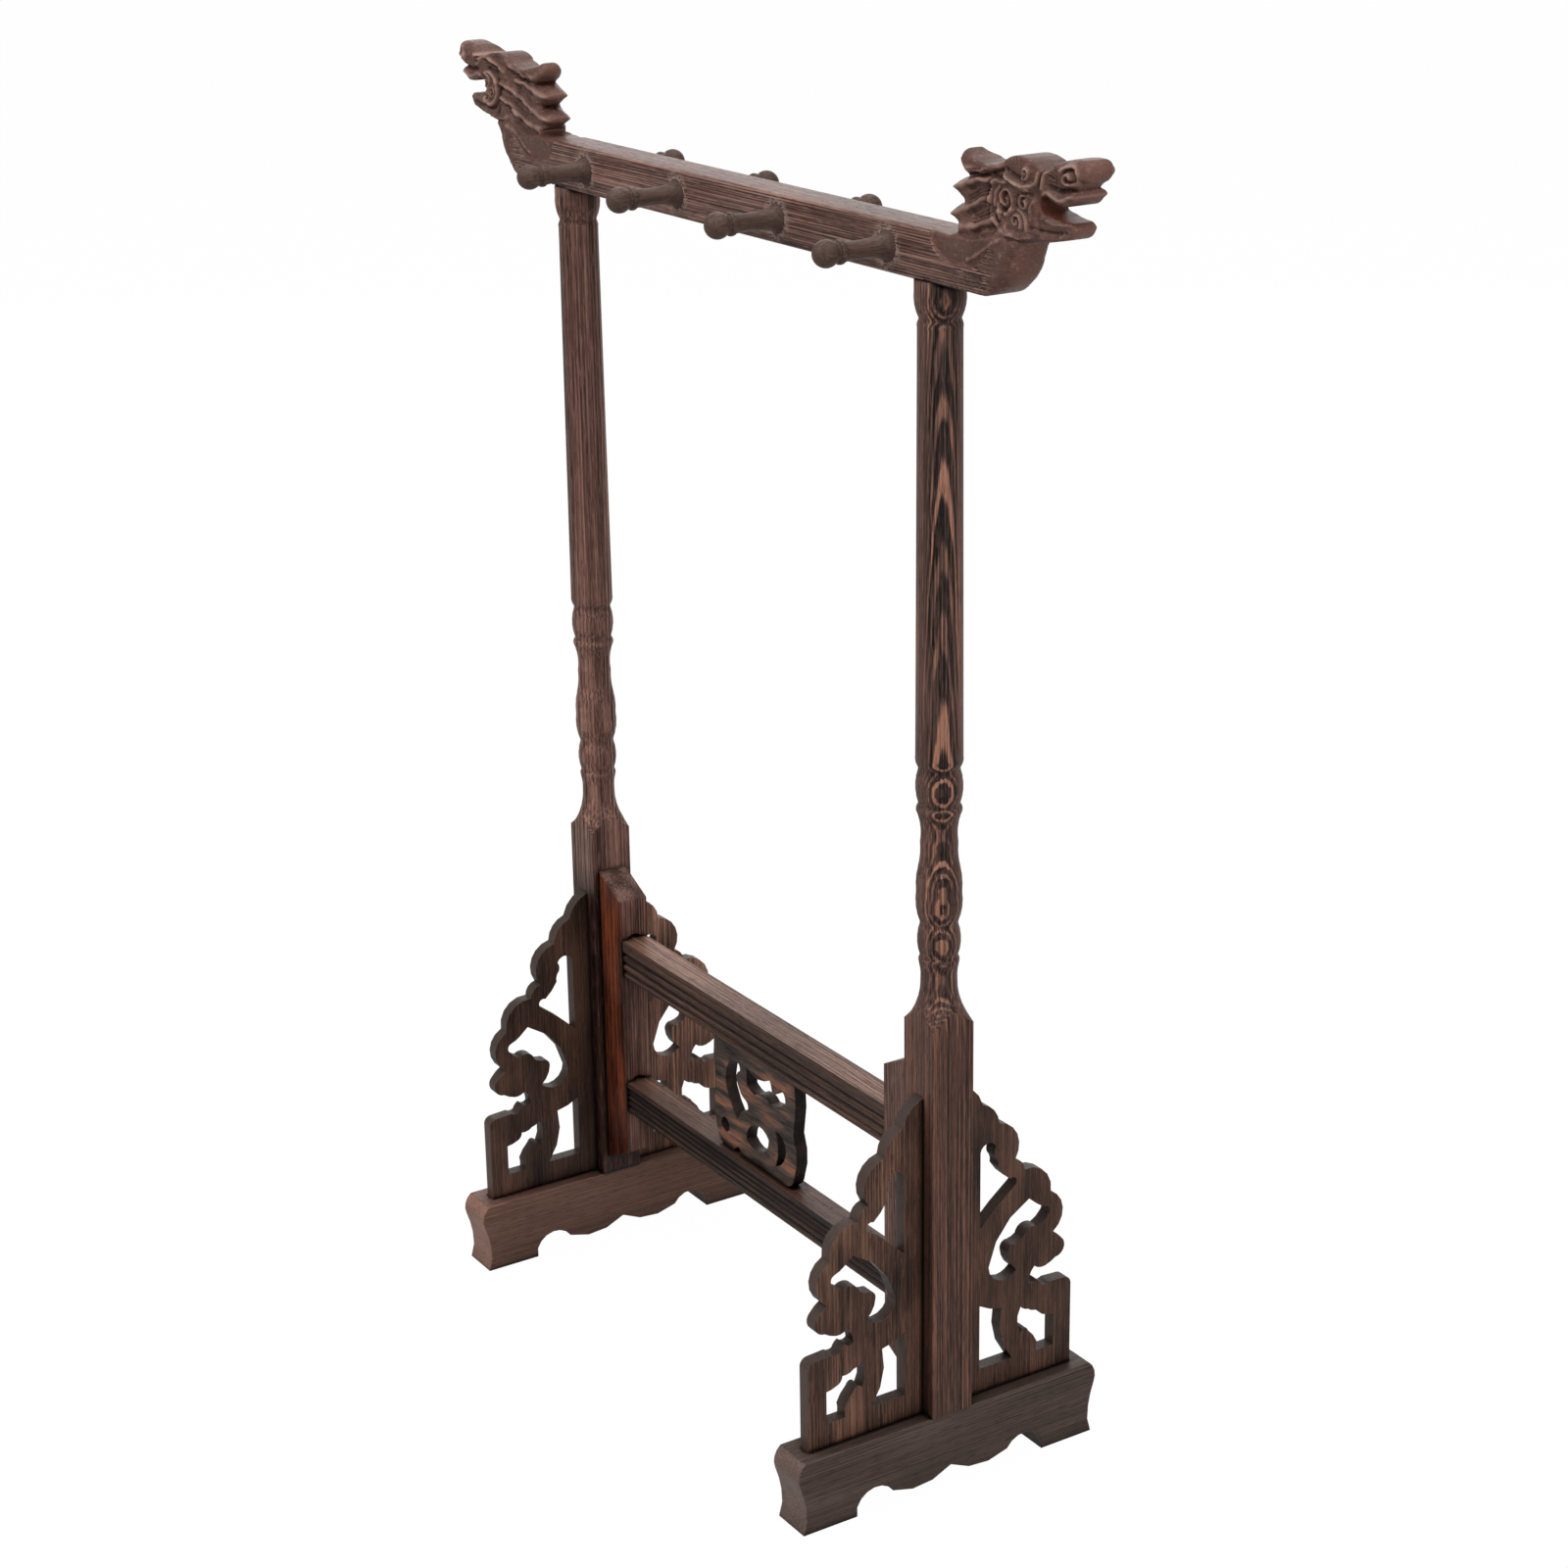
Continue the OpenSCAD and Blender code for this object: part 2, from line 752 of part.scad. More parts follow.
// Peg with its tenon below Z = 0 and its ball end up
module peg() {
    rotate_extrude($fn = 64)
        polygon(outline(peg_profile, 9));
    translate([0, 0, peg_ball_at])
        sphere(d = peg_ball_dia, $fn = 64);
    translate([0, 0, -peg_tenon_len])
        cylinder(d = peg_tenon_dia, h = peg_tenon_len + cut);
}

function peg_x(i) = (i - (peg_count + 1) / 2) * peg_pitch;

// Peg i from the left, on the front (side = -1) or the back (side = 1)
module placed_peg(i, side) {
    color(peg_colour)
        translate([peg_x(i), side * beam_thick / 2, peg_z])
            rotate([side * -90, 0, 0])
                peg();
}

// Sub-parts

module at_right() {
    translate([post_x, 0, 0])
        children();
}

module at_left() {
    mirror([1, 0, 0])
        at_right()
            children();
}

module left_foot() { color(post_colour) at_left() foot(); }
module right_foot() { color(dark_colour) at_right() foot(); }
module left_post() { color(beam_colour) at_left() post(); }
module right_post() { color(post_colour) at_right() post(); }
module left_front_spandrel() { color(dark_colour) at_left() front_spandrel(); }
module left_back_spandrel() { color(dark_colour) at_left() back_spandrel(); }
module right_front_spandrel() { color(post_colour) at_right() front_spandrel(); }
module right_back_spandrel() { color(dark_colour) at_right() back_spandrel(); }

module right_stile() {
    color(beam_colour)
        translate([post_inner_x, 0, 0])
            stile();
}

module left_stile() {
    color(red_colour)
        mirror([1, 0, 0])
            translate([post_inner_x, 0, 0])
                stile();
}

module upper_rail() {
    grooves = [upper_rail_h * 0.18, upper_rail_h * 0.4, upper_rail_h * 0.64];
    color(beam_colour)
        difference() {
            rail(upper_rail_bottom, upper_rail_h, grooves);
            tongue_groove(upper_rail_bottom - cut);
        }
}

module lower_rail() {
    grooves = [lower_rail_h * 0.22, lower_rail_h * 0.42, lower_rail_h * 0.6, lower_rail_h * 0.76];
    color(beam_colour)
        difference() {
            rail(lower_rail_bottom, lower_rail_h, grooves);
            tongue_groove(lower_rail_top - tongue_len - mortise_spare);
        }
}

module fret_panel() {
    color(dark_colour)
        union() {
            translate([0, 0, lower_rail_top])
                plate_along(panel_thick)
                    panel_outline();
            for (z = [lower_rail_top - tongue_len, upper_rail_bottom])
                translate([-panel_tongue_w / 2, -tongue_thick / 2, z])
                    cube([panel_tongue_w, tongue_thick, tongue_len]);
        }
}

module top_beam() {
    bar_len = post_spacing + 2 * head_start;
    bore_dia = top_tenon_dia + 2 * fit_gap;
    peg_bore_dia = peg_tenon_dia + 2 * fit_gap;
    color(beam_colour)
        difference() {
            union() {
                translate([-bar_len / 2, -beam_thick / 2, beam_bottom])
                    cube([bar_len, beam_thick, beam_h]);
                for (end = [0, 1])
                    mirror([end, 0, 0])
                        translate([post_x + head_start, 0, beam_bottom])
                            dragon_head();
            }
            for (x = [-post_x, post_x])
                translate([x, 0, beam_bottom - cut])
                    cylinder(d = bore_dia, h = top_tenon_len + mortise_spare + cut);
            for (i = [1 : peg_count], side = [-1, 1])
                translate([peg_x(i), side * (beam_thick / 2 + cut), peg_z])
                    rotate([side * 90, 0, 0])
                        cylinder(d = peg_bore_dia, h = peg_tenon_len + mortise_spare + cut);
        }
}

left_foot();
right_foot();
left_post();
right_post();
left_front_spandrel();
left_back_spandrel();
right_front_spandrel();
right_back_spandrel();
left_stile();
right_stile();
upper_rail();
lower_rail();
fret_panel();
top_beam();
placed_peg(1, -1);  // front_peg_1
placed_peg(2, -1);  // front_peg_2
placed_peg(3, -1);  // front_peg_3
placed_peg(4, -1);  // front_peg_4
placed_peg(1, 1);  // back_peg_1
placed_peg(2, 1);  // back_peg_2
placed_peg(3, 1);  // back_peg_3
placed_peg(4, 1);  // back_peg_4
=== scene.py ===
"""Brush rack in dark hardwood: wood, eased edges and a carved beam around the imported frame."""
import math

import bmesh
import bpy
import numpy as np
from mathutils import Matrix, Vector, noise
from mathutils.geometry import delaunay_2d_cdt


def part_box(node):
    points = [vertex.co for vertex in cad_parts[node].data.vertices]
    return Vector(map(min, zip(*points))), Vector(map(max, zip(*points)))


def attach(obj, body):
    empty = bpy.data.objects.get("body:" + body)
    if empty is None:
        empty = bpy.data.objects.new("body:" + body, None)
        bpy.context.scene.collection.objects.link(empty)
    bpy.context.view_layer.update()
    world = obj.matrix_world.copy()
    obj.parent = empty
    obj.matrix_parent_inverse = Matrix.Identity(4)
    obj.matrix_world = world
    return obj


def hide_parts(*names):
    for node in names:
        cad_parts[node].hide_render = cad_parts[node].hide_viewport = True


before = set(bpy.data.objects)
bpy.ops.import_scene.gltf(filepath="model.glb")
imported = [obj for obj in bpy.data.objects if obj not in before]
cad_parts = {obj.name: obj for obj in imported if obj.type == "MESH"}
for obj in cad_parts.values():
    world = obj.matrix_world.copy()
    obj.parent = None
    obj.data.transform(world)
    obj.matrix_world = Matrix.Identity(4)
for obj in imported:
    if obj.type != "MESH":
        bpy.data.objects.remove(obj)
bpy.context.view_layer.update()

MM = 0.001


# Shader trees

def srgb(red, green, blue):
    """A linear colour from 0 to 255 display values."""
    def channel(value):
        value /= 255
        return value / 12.92 if value <= 0.04045 else ((value + 0.055) / 1.055) ** 2.4
    return (channel(red), channel(green), channel(blue), 1.0)


def grey(value):
    return (value, value, value, 1.0)


class Tree:
    """Short calls for making the nodes of one material or world."""

    def __init__(self, owner):
        owner.use_nodes = True
        self.tree = owner.node_tree
        self.tree.nodes.clear()

    def add(self, kind, inputs=None, **settings):
        """A new node, with its settings made and its inputs set or linked."""
        made = self.tree.nodes.new(kind)
        for name, value in settings.items():
            setattr(made, name, value)
        for key, value in (inputs or {}).items():
            self.put(made.inputs[key], value)
        return made

    def put(self, socket, value):
        """Link an output to a socket, or set a plain value on it."""
        if isinstance(value, bpy.types.NodeSocket):
            self.tree.links.new(value, socket)
        else:
            socket.default_value = value

    def math(self, operation, *values):
        return self.add("ShaderNodeMath", dict(enumerate(values)), operation=operation).outputs[0]

    def vector(self, operation, *values):
        made = self.add("ShaderNodeVectorMath", dict(enumerate(values)), operation=operation)
        return made.outputs["Value" if operation in ("LENGTH", "DOT_PRODUCT") else "Vector"]

    def noise(self, place, scale, detail=2.0, roughness=0.5, output="Fac"):
        """Noise with its own scale along each axis of the place."""
        scaled = self.vector("MULTIPLY", place, scale)
        return self.add(
            "ShaderNodeTexNoise", {"Vector": scaled, "Scale": 1.0, "Detail": detail, "Roughness": roughness}
        ).outputs[output]

    def ramp(self, value, stops):
        """Colour ramp through (position, colour) stops; a number as colour gives a grey."""
        made = self.add("ShaderNodeValToRGB", {"Fac": value})
        points = made.color_ramp.elements
        while len(points) < len(stops):
            points.new(0.5)
        for point, (position, colour) in zip(points, stops):
            point.position = position
            point.color = grey(colour) if isinstance(colour, (int, float)) else colour
        return made.outputs["Color"]

    def mix(self, blend, factor, low, high):
        made = self.add("ShaderNodeMixRGB", {"Fac": factor, "Color1": low, "Color2": high}, blend_type=blend)
        return made.outputs["Color"]


# Wood

# Turns that bring the grain onto the wood's own Z
GRAIN_TURN = {"X": (0.0, -math.pi / 2, 0.0), "Y": (math.pi / 2, 0.0, 0.0), "Z": (0.0, 0.0, 0.0)}
AXIS = {"X": (1, 0, 0), "Y": (0, 1, 0), "Z": (0, 0, 1)}
ACROSS_GRAIN = (1.0, 1.0, 0.0)

# Scales of the noise per mm, twice across the grain and once along it
SWAY_SCALE = (0.05, 0.05, 0.011)
JITTER_SCALE = (0.7, 0.7, 0.06)
DASH_SCALE = (2.9, 2.9, 0.13)
PORE_SCALE = (3.7, 3.7, 0.2)
FLECK_SCALE = (0.9, 0.9, 0.5)
LINE_ALONG = 0.009

# Years differ in how pale their late wood is
YEAR_LEAST = 0.55
YEAR_SPREAD = 0.6

# Share of the lines that stays where the rings are calm, and how far a line stands out
CALM_LINES = 0.5
LINE_CONTRAST = 3.0
DASH_STOPS = ((0.56, 0.0), (0.68, 1.0))
PORE_STOPS = ((0.58, 0.0), (0.7, 1.0))
PORE_STRENGTH = 0.6
PORE_TINT = srgb(110, 96, 92)

# Where a face counts as a side or as end grain, by the way it looks
SIDE_STOPS = ((0.3, 1.0), (0.8, 0.0))
END_STOPS = ((0.4, 0.0), (0.8, 1.0))

# Stops over the height: 0.5 is where the rings calm down or the painted shade on the lower part ends
CALM_STOPS = ((0.45, 0.12), (0.55, 1.0))
LOW_SHADE_STOPS = ((0.47, 1.0), (0.51, 0.0))

# Painted shade in the corners and in the grooves, in plain and in carved wood
CORNER_SHADE_TINT = srgb(80, 60, 53)
CORNER_SHADE = 0.9
CARVED_CORNER_SHADE = 0.25
GROOVE_SHADE_TINT = srgb(46, 34, 31)
CARVED_GROOVE_SHADE_TINT = srgb(212, 198, 192)
GROOVE_REACH = 1.6
GROOVE_STOPS = ((0.6, 1.0), (0.95, 0.0))
OCCLUSION_SAMPLES = 6

# Sawn edges of a plate: dark wood with painted shade, darkest where they look down
SAWN_STOPS = ((0.15, 0.85), (0.6, 0.0))
EDGE_LIGHT_FROM = (0, -0.3, 0.95)
EDGE_TONE_AND_SHADE_STOPS = ((0.5, srgb(30, 24, 23)), (0.64, srgb(74, 61, 55)), (0.95, srgb(62, 53, 49)))

# Corners that are rubbed pale: wear, and a painted highlight
CORNER_STOPS = ((0.03, 0.0), (0.25, 1.0))
CORNER_SAMPLES = 4

# Carved wood: share of the grain that it hides, painted shade in the cuts, wear and painted highlight on the
# ridges, flecks and red wood in the mouth
GRAIN_HIDDEN = 0.88
CUT_STOPS = ((0.05, 0.0), (0.8, 0.7))
CUT_SHADE_TINT = srgb(124, 98, 89)
RAISED_STOPS = ((0.25, 0.0), (1.0, 0.75))
FLECK_STOPS = ((0.56, 0.0), (0.7, 0.5))
FRESH_STRENGTH = 0.7
FRESH_WOOD = srgb(96, 48, 33)

# Scars round the pegs: a range in mm, and how they fade over it; their noise is per metre
SCAR_RANGE = 10.0
SCAR_STOPS = ((0.45, 1.0), (0.75, 0.0))
TORN_SCALE = (900.0, 900.0, 1400.0)
TORN_STOPS = ((0.45, 0.0), (0.55, 1.0))
OLD_GLUE = srgb(160, 138, 128)

# Satin surface, rougher in the lines and the pores
ROUGHNESS = 0.3
LINE_ROUGHNESS = 0.25
PORE_ROUGHNESS = 0.15
PORE_DEPTH = 0.7
BUMP_STRENGTH = 0.5
BUMP_HEIGHT = 0.2
WOOD_IOR = 1.48
WOOD_SPECULAR = 0.18


class Wood(Tree):
    """The nodes of one wood. Its layers are laid over each other in colour."""

    def __init__(self, material, grain, pith, tilt):
        super().__init__(material)
        coords = self.add("ShaderNodeTexCoord")
        self.place = coords.outputs["Object"]
        self.facing = coords.outputs["Normal"]
        turn = [a + b for a, b in zip(GRAIN_TURN[grain], (*tilt, 0.0))]
        self.tilted = self.grain_space(pith, turn)
        self.straight = self.grain_space(pith, GRAIN_TURN[grain])
        self.normal = self.add(
            "ShaderNodeMapping", {"Vector": self.facing, "Rotation": turn}, vector_type="VECTOR"
        ).outputs["Vector"]
        self.groove = self.openness(GROOVE_REACH)
        self.colour = None

    def grain_space(self, pith, turn):
        """Places in mm, with the grain along Z and the pith on the axis."""
        location = (-pith[0], -pith[1], 0.0)
        return self.add(
            "ShaderNodeMapping",
            {"Vector": self.place, "Location": location, "Rotation": turn, "Scale": (1 / MM,) * 3},
            vector_type="POINT",
        ).outputs["Vector"]

    def openness(self, reach):
        """1 in the open and less in a hollow, seen as far as a reach in mm."""
        return self.add(
            "ShaderNodeAmbientOcclusion", {"Distance": reach * MM}, samples=OCCLUSION_SAMPLES
        ).outputs["AO"]

    def mark(self, name):
        """A value that the mesh keeps for each of its points."""
        return self.add("ShaderNodeAttribute", attribute_name=name).outputs["Fac"]

    def looks_along(self, normal, direction):
        """How far a face looks along a direction, either way."""
        return self.math("ABSOLUTE", self.vector("DOT_PRODUCT", normal, direction))

    def by_height(self, middle, stops):
        """Ramp over the height above the table, with 0.5 at a height in mm."""
        height = self.add("ShaderNodeSeparateXYZ", {"Vector": self.place}).outputs["Z"]
        return self.ramp(self.math("DIVIDE", height, 2 * middle * MM), stops)

    def swing(self, base, value, strength):
        """The base, raised or lowered by how far a value lies off its middle."""
        return self.math("MULTIPLY_ADD", self.math("SUBTRACT", value, 0.5), strength, base)

    def lay(self, blend, factor, tint):
        """Blend a tint into the colour so far."""
        self.colour = self.mix(blend, factor, self.colour, tint)

    def wobble(self, scale, width):
        """A noisy way across the grain, half a width at most."""
        way = self.noise(self.tilted, scale, output="Color")
        return self.vector("MULTIPLY", self.vector("SUBTRACT", way, (0.5, 0.5, 0.5)), (width, width, 0.0))

    def from_pith(self, sway_width, ragged):
        """The way out from the pith, bent by a slow wobble and a finer one."""
        bent = self.vector("ADD", self.tilted, self.wobble(SWAY_SCALE, sway_width))
        bent = self.vector("ADD", bent, self.wobble(JITTER_SCALE, ragged))
        return self.vector("MULTIPLY", bent, ACROSS_GRAIN)

    def growth_rings(self, from_pith, ring, late):
        """Dark early wood and pale late wood of each year."""
        phase = self.math("DIVIDE", self.vector("LENGTH", from_pith), ring)
        band = self.ramp(
            self.math("FRACT", phase),
            [(0.0, 0.05), (0.85 * late, 0.15), (1.15 * late, 1.0), (0.85, 0.9), (0.97, 0.05)],
        )
        year = self.add("ShaderNodeTexWhiteNoise", {"W": self.math("FLOOR", phase)}, noise_dimensions="1D")
        pale = self.math("MULTIPLY_ADD", year.outputs["Value"], YEAR_SPREAD, YEAR_LEAST)
        return self.math("MULTIPLY", band, pale)

    def boldness(self, from_pith, calm):
        """How boldly the rings show on a face, by how far it is cut along them."""
        outwards = self.vector("NORMALIZE", from_pith)
        return self.ramp(self.looks_along(self.normal, outwards), calm)

    def fibres(self, line_gap):
        """Long lines, short pale dashes and open pores, all drawn out along the grain."""
        line_scale = (1 / line_gap, 1 / line_gap, LINE_ALONG)
        line = self.noise(self.straight, line_scale, detail=3.0, roughness=0.62)
        dash = self.noise(self.straight, DASH_SCALE, detail=1.0)
        pore = self.noise(self.straight, PORE_SCALE, detail=1.0)
        return line, self.ramp(dash, DASH_STOPS), self.ramp(pore, PORE_STOPS)

    def cloud(self, patch_size):
        """Slow drift of the tone, in patches of a width and a length."""
        width, length = patch_size
        return self.noise(self.tilted, (1 / width, 1 / width, 1 / length))

    def grain_colour(self, shade, tones):
        dark, middle, light, _ = tones
        return self.ramp(shade, [(0.0, dark), (0.5, middle), (1.0, light)])

    def lay_grain(self, shade, tones, side_tones_and_light):
        """The wood's own colour, with other tones on the faces that don't look along Y: on the stile the
        side's own colour, on the beam and the rails a darker or lighter copy of the wood as painted shade and
        light.
        """
        self.colour = self.grain_colour(shade, tones)
        if side_tones_and_light:
            side = self.ramp(self.looks_along(self.facing, AXIS["Y"]), SIDE_STOPS)
            self.lay("MIX", side, self.grain_colour(shade, side_tones_and_light))

    def lay_end_grain_and_light(self, factor):
        """End grain, lighter or darker by a factor; the lighter ends of the feet are painted light."""
        end = self.ramp(self.looks_along(self.normal, AXIS["Z"]), END_STOPS)
        self.lay("MULTIPLY", end, grey(factor))

    def lay_corner_and_groove_shade(self, reach, carved):
        """Painted shade in the corners and in the fine grooves."""
        corner = self.ramp(self.openness(reach), [(0.2, CARVED_CORNER_SHADE if carved else CORNER_SHADE), (0.85, 0.0)])
        self.lay("MULTIPLY", corner, CORNER_SHADE_TINT)
        groove_shade = CARVED_GROOVE_SHADE_TINT if carved else GROOVE_SHADE_TINT
        self.lay("MULTIPLY", self.ramp(self.groove, GROOVE_STOPS), groove_shade)

    def lay_dark_edges_and_shade(self, plate, edge_brightness):
        """Dark sawn edges of a plate, with painted shade by the way they face, lighter or darker by a factor.
        """
        upwards = self.vector("DOT_PRODUCT", self.facing, EDGE_LIGHT_FROM)
        edge_tone_and_shade = self.ramp(self.math("MULTIPLY_ADD", upwards, 0.5, 0.5), EDGE_TONE_AND_SHADE_STOPS)
        edge_tone_and_shade = self.mix("MULTIPLY", 1.0, edge_tone_and_shade, grey(edge_brightness))
        sawn = self.ramp(self.looks_along(self.facing, AXIS[plate]), SAWN_STOPS)
        self.lay("MIX", sawn, edge_tone_and_shade)

    def lay_wear_and_highlight(self, wear_and_highlight, pale_edge_width, light):
        """Corners that stand proud, paled to the light wood: rubbed wear and painted highlight."""
        soft = self.add("ShaderNodeBevel", {"Radius": pale_edge_width * MM}, samples=CORNER_SAMPLES)
        true = self.add("ShaderNodeNewGeometry")
        level = self.vector("DOT_PRODUCT", soft.outputs["Normal"], true.outputs["Normal"])
        corner = self.ramp(self.math("SUBTRACT", 1.0, level), CORNER_STOPS)
        proud = self.ramp(self.groove, [(0.8, 0.0), (0.95, wear_and_highlight)])
        self.lay("MIX", self.math("MULTIPLY", corner, proud), light)

    def peg_scars(self):
        """Torn fibres and old glue in a ragged ring round each peg.
        The pegs stand half a pitch off the middle."""
        first, second = (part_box(f"front_peg_{number}") for number in (1, 2))
        pitch = second[0][0] - first[0][0]
        peg_height = (first[0][2] + first[1][2]) / 2
        parts = self.add("ShaderNodeSeparateXYZ", {"Vector": self.place})
        share = self.math("FRACT", self.math("DIVIDE", parts.outputs["X"], pitch))
        along = self.math("MULTIPLY", self.math("SUBTRACT", share, 0.5), pitch / MM)
        up = self.math("MULTIPLY", self.math("SUBTRACT", parts.outputs["Z"], peg_height), 1 / MM)
        gap = self.vector("LENGTH", self.add("ShaderNodeCombineXYZ", {"X": along, "Y": up}).outputs["Vector"])
        ring = self.ramp(self.math("DIVIDE", gap, SCAR_RANGE), SCAR_STOPS)
        torn = self.noise(self.place, TORN_SCALE, detail=3.0, roughness=0.7)
        return self.math("MULTIPLY", ring, self.ramp(torn, TORN_STOPS))

    def lay_carving(self, head, pale):
        """Cuts darkened with painted shade, ridges paled with wear and painted highlight, pale flecks, red
        wood in the mouth, and scars round the pegs.
        """
        relief = self.mark("relief")
        self.lay("MULTIPLY", self.ramp(self.math("MULTIPLY", relief, -1.0), CUT_STOPS), CUT_SHADE_TINT)
        self.lay("MIX", self.ramp(relief, RAISED_STOPS), pale)
        self.lay("MIX", self.math("MULTIPLY", self.mark("fresh"), FRESH_STRENGTH), FRESH_WOOD)
        fleck = self.noise(self.tilted, FLECK_SCALE, detail=4.0, roughness=0.7)
        self.lay("MIX", self.math("MULTIPLY", self.ramp(fleck, FLECK_STOPS), head), pale)
        beam = self.math("SUBTRACT", 1.0, head)
        self.lay("MIX", self.math("MULTIPLY", self.peg_scars(), beam), OLD_GLUE)

    def surface(self, line, pore):
        """The finished shader, with raised lines and sunk pores."""
        pore_rough = self.math("MULTIPLY_ADD", pore, PORE_ROUGHNESS, ROUGHNESS)
        rise = self.math("SUBTRACT", line, self.math("MULTIPLY", pore, PORE_DEPTH))
        bump = self.add(
            "ShaderNodeBump", {"Height": rise, "Strength": BUMP_STRENGTH, "Distance": BUMP_HEIGHT * MM})
        shader = self.add("ShaderNodeBsdfPrincipled", {
            "Base Color": self.colour,
            "Roughness": self.math("MULTIPLY_ADD", line, LINE_ROUGHNESS, pore_rough),
            "Normal": bump.outputs["Normal"],
            "IOR": WOOD_IOR,
            "Specular IOR Level": WOOD_SPECULAR,
        })
        self.add("ShaderNodeOutputMaterial", {"Surface": shader.outputs["BSDF"]})


def wood(name, grain, pith, tones, side_tones_and_light=None, ring=0.65, late=0.5, ragged=0.45, sway_width=2.6,
         tilt=(0.006, 0.008), figure=0.5, calm=((0.5, 0.35), (0.97, 1.0)), calm_below=None, lines=0.5,
         line_gap=0.6, dashes=0.4, patches=0.6, patch_size=(12.5, 50), low_shade=None, ends=1.0, reach=6,
         wear_and_highlight=0.25, pale_edge_width=0.5, plate=None, edge_brightness=1.0, carved=False):
    """Dark open-grained hardwood. Sizes are in mm, and strengths run from 0 up.

    grain: axis along the grain; pith: where the heart of the tree lies across it.
    tones: dark, middle and light wood, and pale dashes; side_tones_and_light: those of faces that don't look
    along Y, the side's own colour, or a lighter or darker copy of the tones as painted light and shade.
    ring: width of a year's ring; late: share of it at which the pale wood begins.
    ragged, sway_width, tilt: how far the rings are jagged, wander, and lean against the grain in radians.
    figure: how strongly the rings show; calm: how this changes from faces cut across the rings to faces
    cut along them; calm_below: height under which they are faint.
    lines, line_gap, dashes: strength and distance of the long lines, and strength of the short dashes.
    patches, patch_size: how far the tone drifts, and how wide and long these drifts are.
    low_shade: height under which the wood is darkened as painted shade, and its tint.
    ends: how much lighter end grain is, as a factor, which on the feet is painted light; reach: how far
    painted shade comes out of the corners.
    wear_and_highlight, pale_edge_width: how far the corners are paled by wear and painted highlight, and how
    broadly.
    plate: axis across a sawn plate, whose cut edges are dark, with painted shade by the way they face;
    edge_brightness: how light these are, as a factor.
    carved: for a mesh that keeps the marks of its carving."""
    material = bpy.data.materials.new(name)
    t = Wood(material, grain, pith, tilt)
    from_pith = t.from_pith(sway_width, ragged)
    bold = t.boldness(from_pith, calm)
    line_strength = t.math("MULTIPLY", t.math("MULTIPLY_ADD", bold, 1 - CALM_LINES, CALM_LINES), lines)
    if calm_below:
        bold = t.math("MULTIPLY", bold, t.by_height(calm_below, CALM_STOPS))
    line, dash, pore = t.fibres(line_gap)
    if carved:
        head = t.mark("head")
        plain = t.math("MULTIPLY_ADD", head, -GRAIN_HIDDEN, 1.0)
        bold, line_strength, dash, pore = (
            t.math("MULTIPLY", plain, part) for part in (bold, line_strength, dash, pore))

    shade = t.swing(0.5, t.growth_rings(from_pith, ring, late), t.math("MULTIPLY", bold, figure))
    shade = t.swing(shade, line, t.math("MULTIPLY", line_strength, LINE_CONTRAST))
    shade = t.swing(shade, t.cloud(patch_size), patches)
    light, pale = tones[2:]
    t.lay_grain(shade, tones, side_tones_and_light)
    # Painted shade: the wood is darker below a height
    if low_shade:
        low_shade_top, low_shade_tint = low_shade
        t.lay("MULTIPLY", t.by_height(low_shade_top, LOW_SHADE_STOPS), low_shade_tint)
    t.lay("MIX", t.math("MULTIPLY", dash, dashes), pale)
    t.lay("MULTIPLY", t.math("MULTIPLY", pore, PORE_STRENGTH), PORE_TINT)
    t.lay_end_grain_and_light(ends)
    t.lay_corner_and_groove_shade(reach, carved)
    if plate:
        t.lay_dark_edges_and_shade(plate, edge_brightness)
    t.lay_wear_and_highlight(wear_and_highlight, pale_edge_width, light)
    if carved:
        t.lay_carving(head, pale)
    t.surface(line, pore)
    return material


# Dark, middle and light wood, and pale dashes
BROWN = (srgb(38, 26, 23), srgb(93, 65, 58), srgb(158, 122, 109), srgb(162, 130, 117))
ROSE = (srgb(40, 25, 21), srgb(98, 68, 60), srgb(154, 116, 103), srgb(158, 122, 109))
DEEP = (srgb(18, 12, 10), srgb(67, 47, 39), srgb(110, 80, 66), srgb(122, 88, 71))
EARTH = (srgb(54, 39, 34), srgb(107, 79, 68), srgb(140, 108, 93), srgb(144, 112, 96))
ASH = (srgb(38, 30, 27), srgb(77, 63, 57), srgb(110, 93, 86), srgb(118, 100, 91))
FLAME = (srgb(18, 11, 9), srgb(87, 64, 58), srgb(168, 119, 98), srgb(140, 109, 97))
RED = (srgb(30, 10, 6), srgb(74, 31, 17), srgb(134, 68, 40), srgb(140, 80, 52))
SMOKE = (srgb(48, 36, 32), srgb(83, 63, 56), srgb(114, 92, 83), srgb(120, 98, 88))
STREAK = (srgb(22, 19, 18), srgb(70, 59, 54), srgb(146, 98, 74), srgb(124, 90, 72))


def toned(tones, factor):
    """The same wood, lighter or darker by a factor."""
    return [tuple(min(1.0, channel * factor) for channel in tone[:3]) + (1.0,) for tone in tones]


# Pieces

# Points closer than this in mm are one, and so are faces that meet at fewer degrees
WELD_GAP = 0.001
FLAT_ANGLE = 0.5
EDGE_STEPS = 3
UPRIGHT = 0.999
# Angle in degrees over which an edge of a carved or turned piece is sharp
SHARP_ANGLE = 50


def link(name, mesh, material, replaced):
    """A finished mesh as a piece that stands for a CAD node."""
    piece = bpy.data.objects.new(name, mesh)
    bpy.context.scene.collection.objects.link(piece)
    mesh.materials.clear()
    mesh.materials.append(material)
    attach(piece, "root")
    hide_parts(replaced)
    return piece


def shade_smooth(mesh, angle):
    """Smooth shading, broken at edges over an angle in degrees."""
    mesh.polygons.foreach_set("use_smooth", [True] * len(mesh.polygons))
    mesh.set_sharp_from_angle(angle=math.radians(angle))


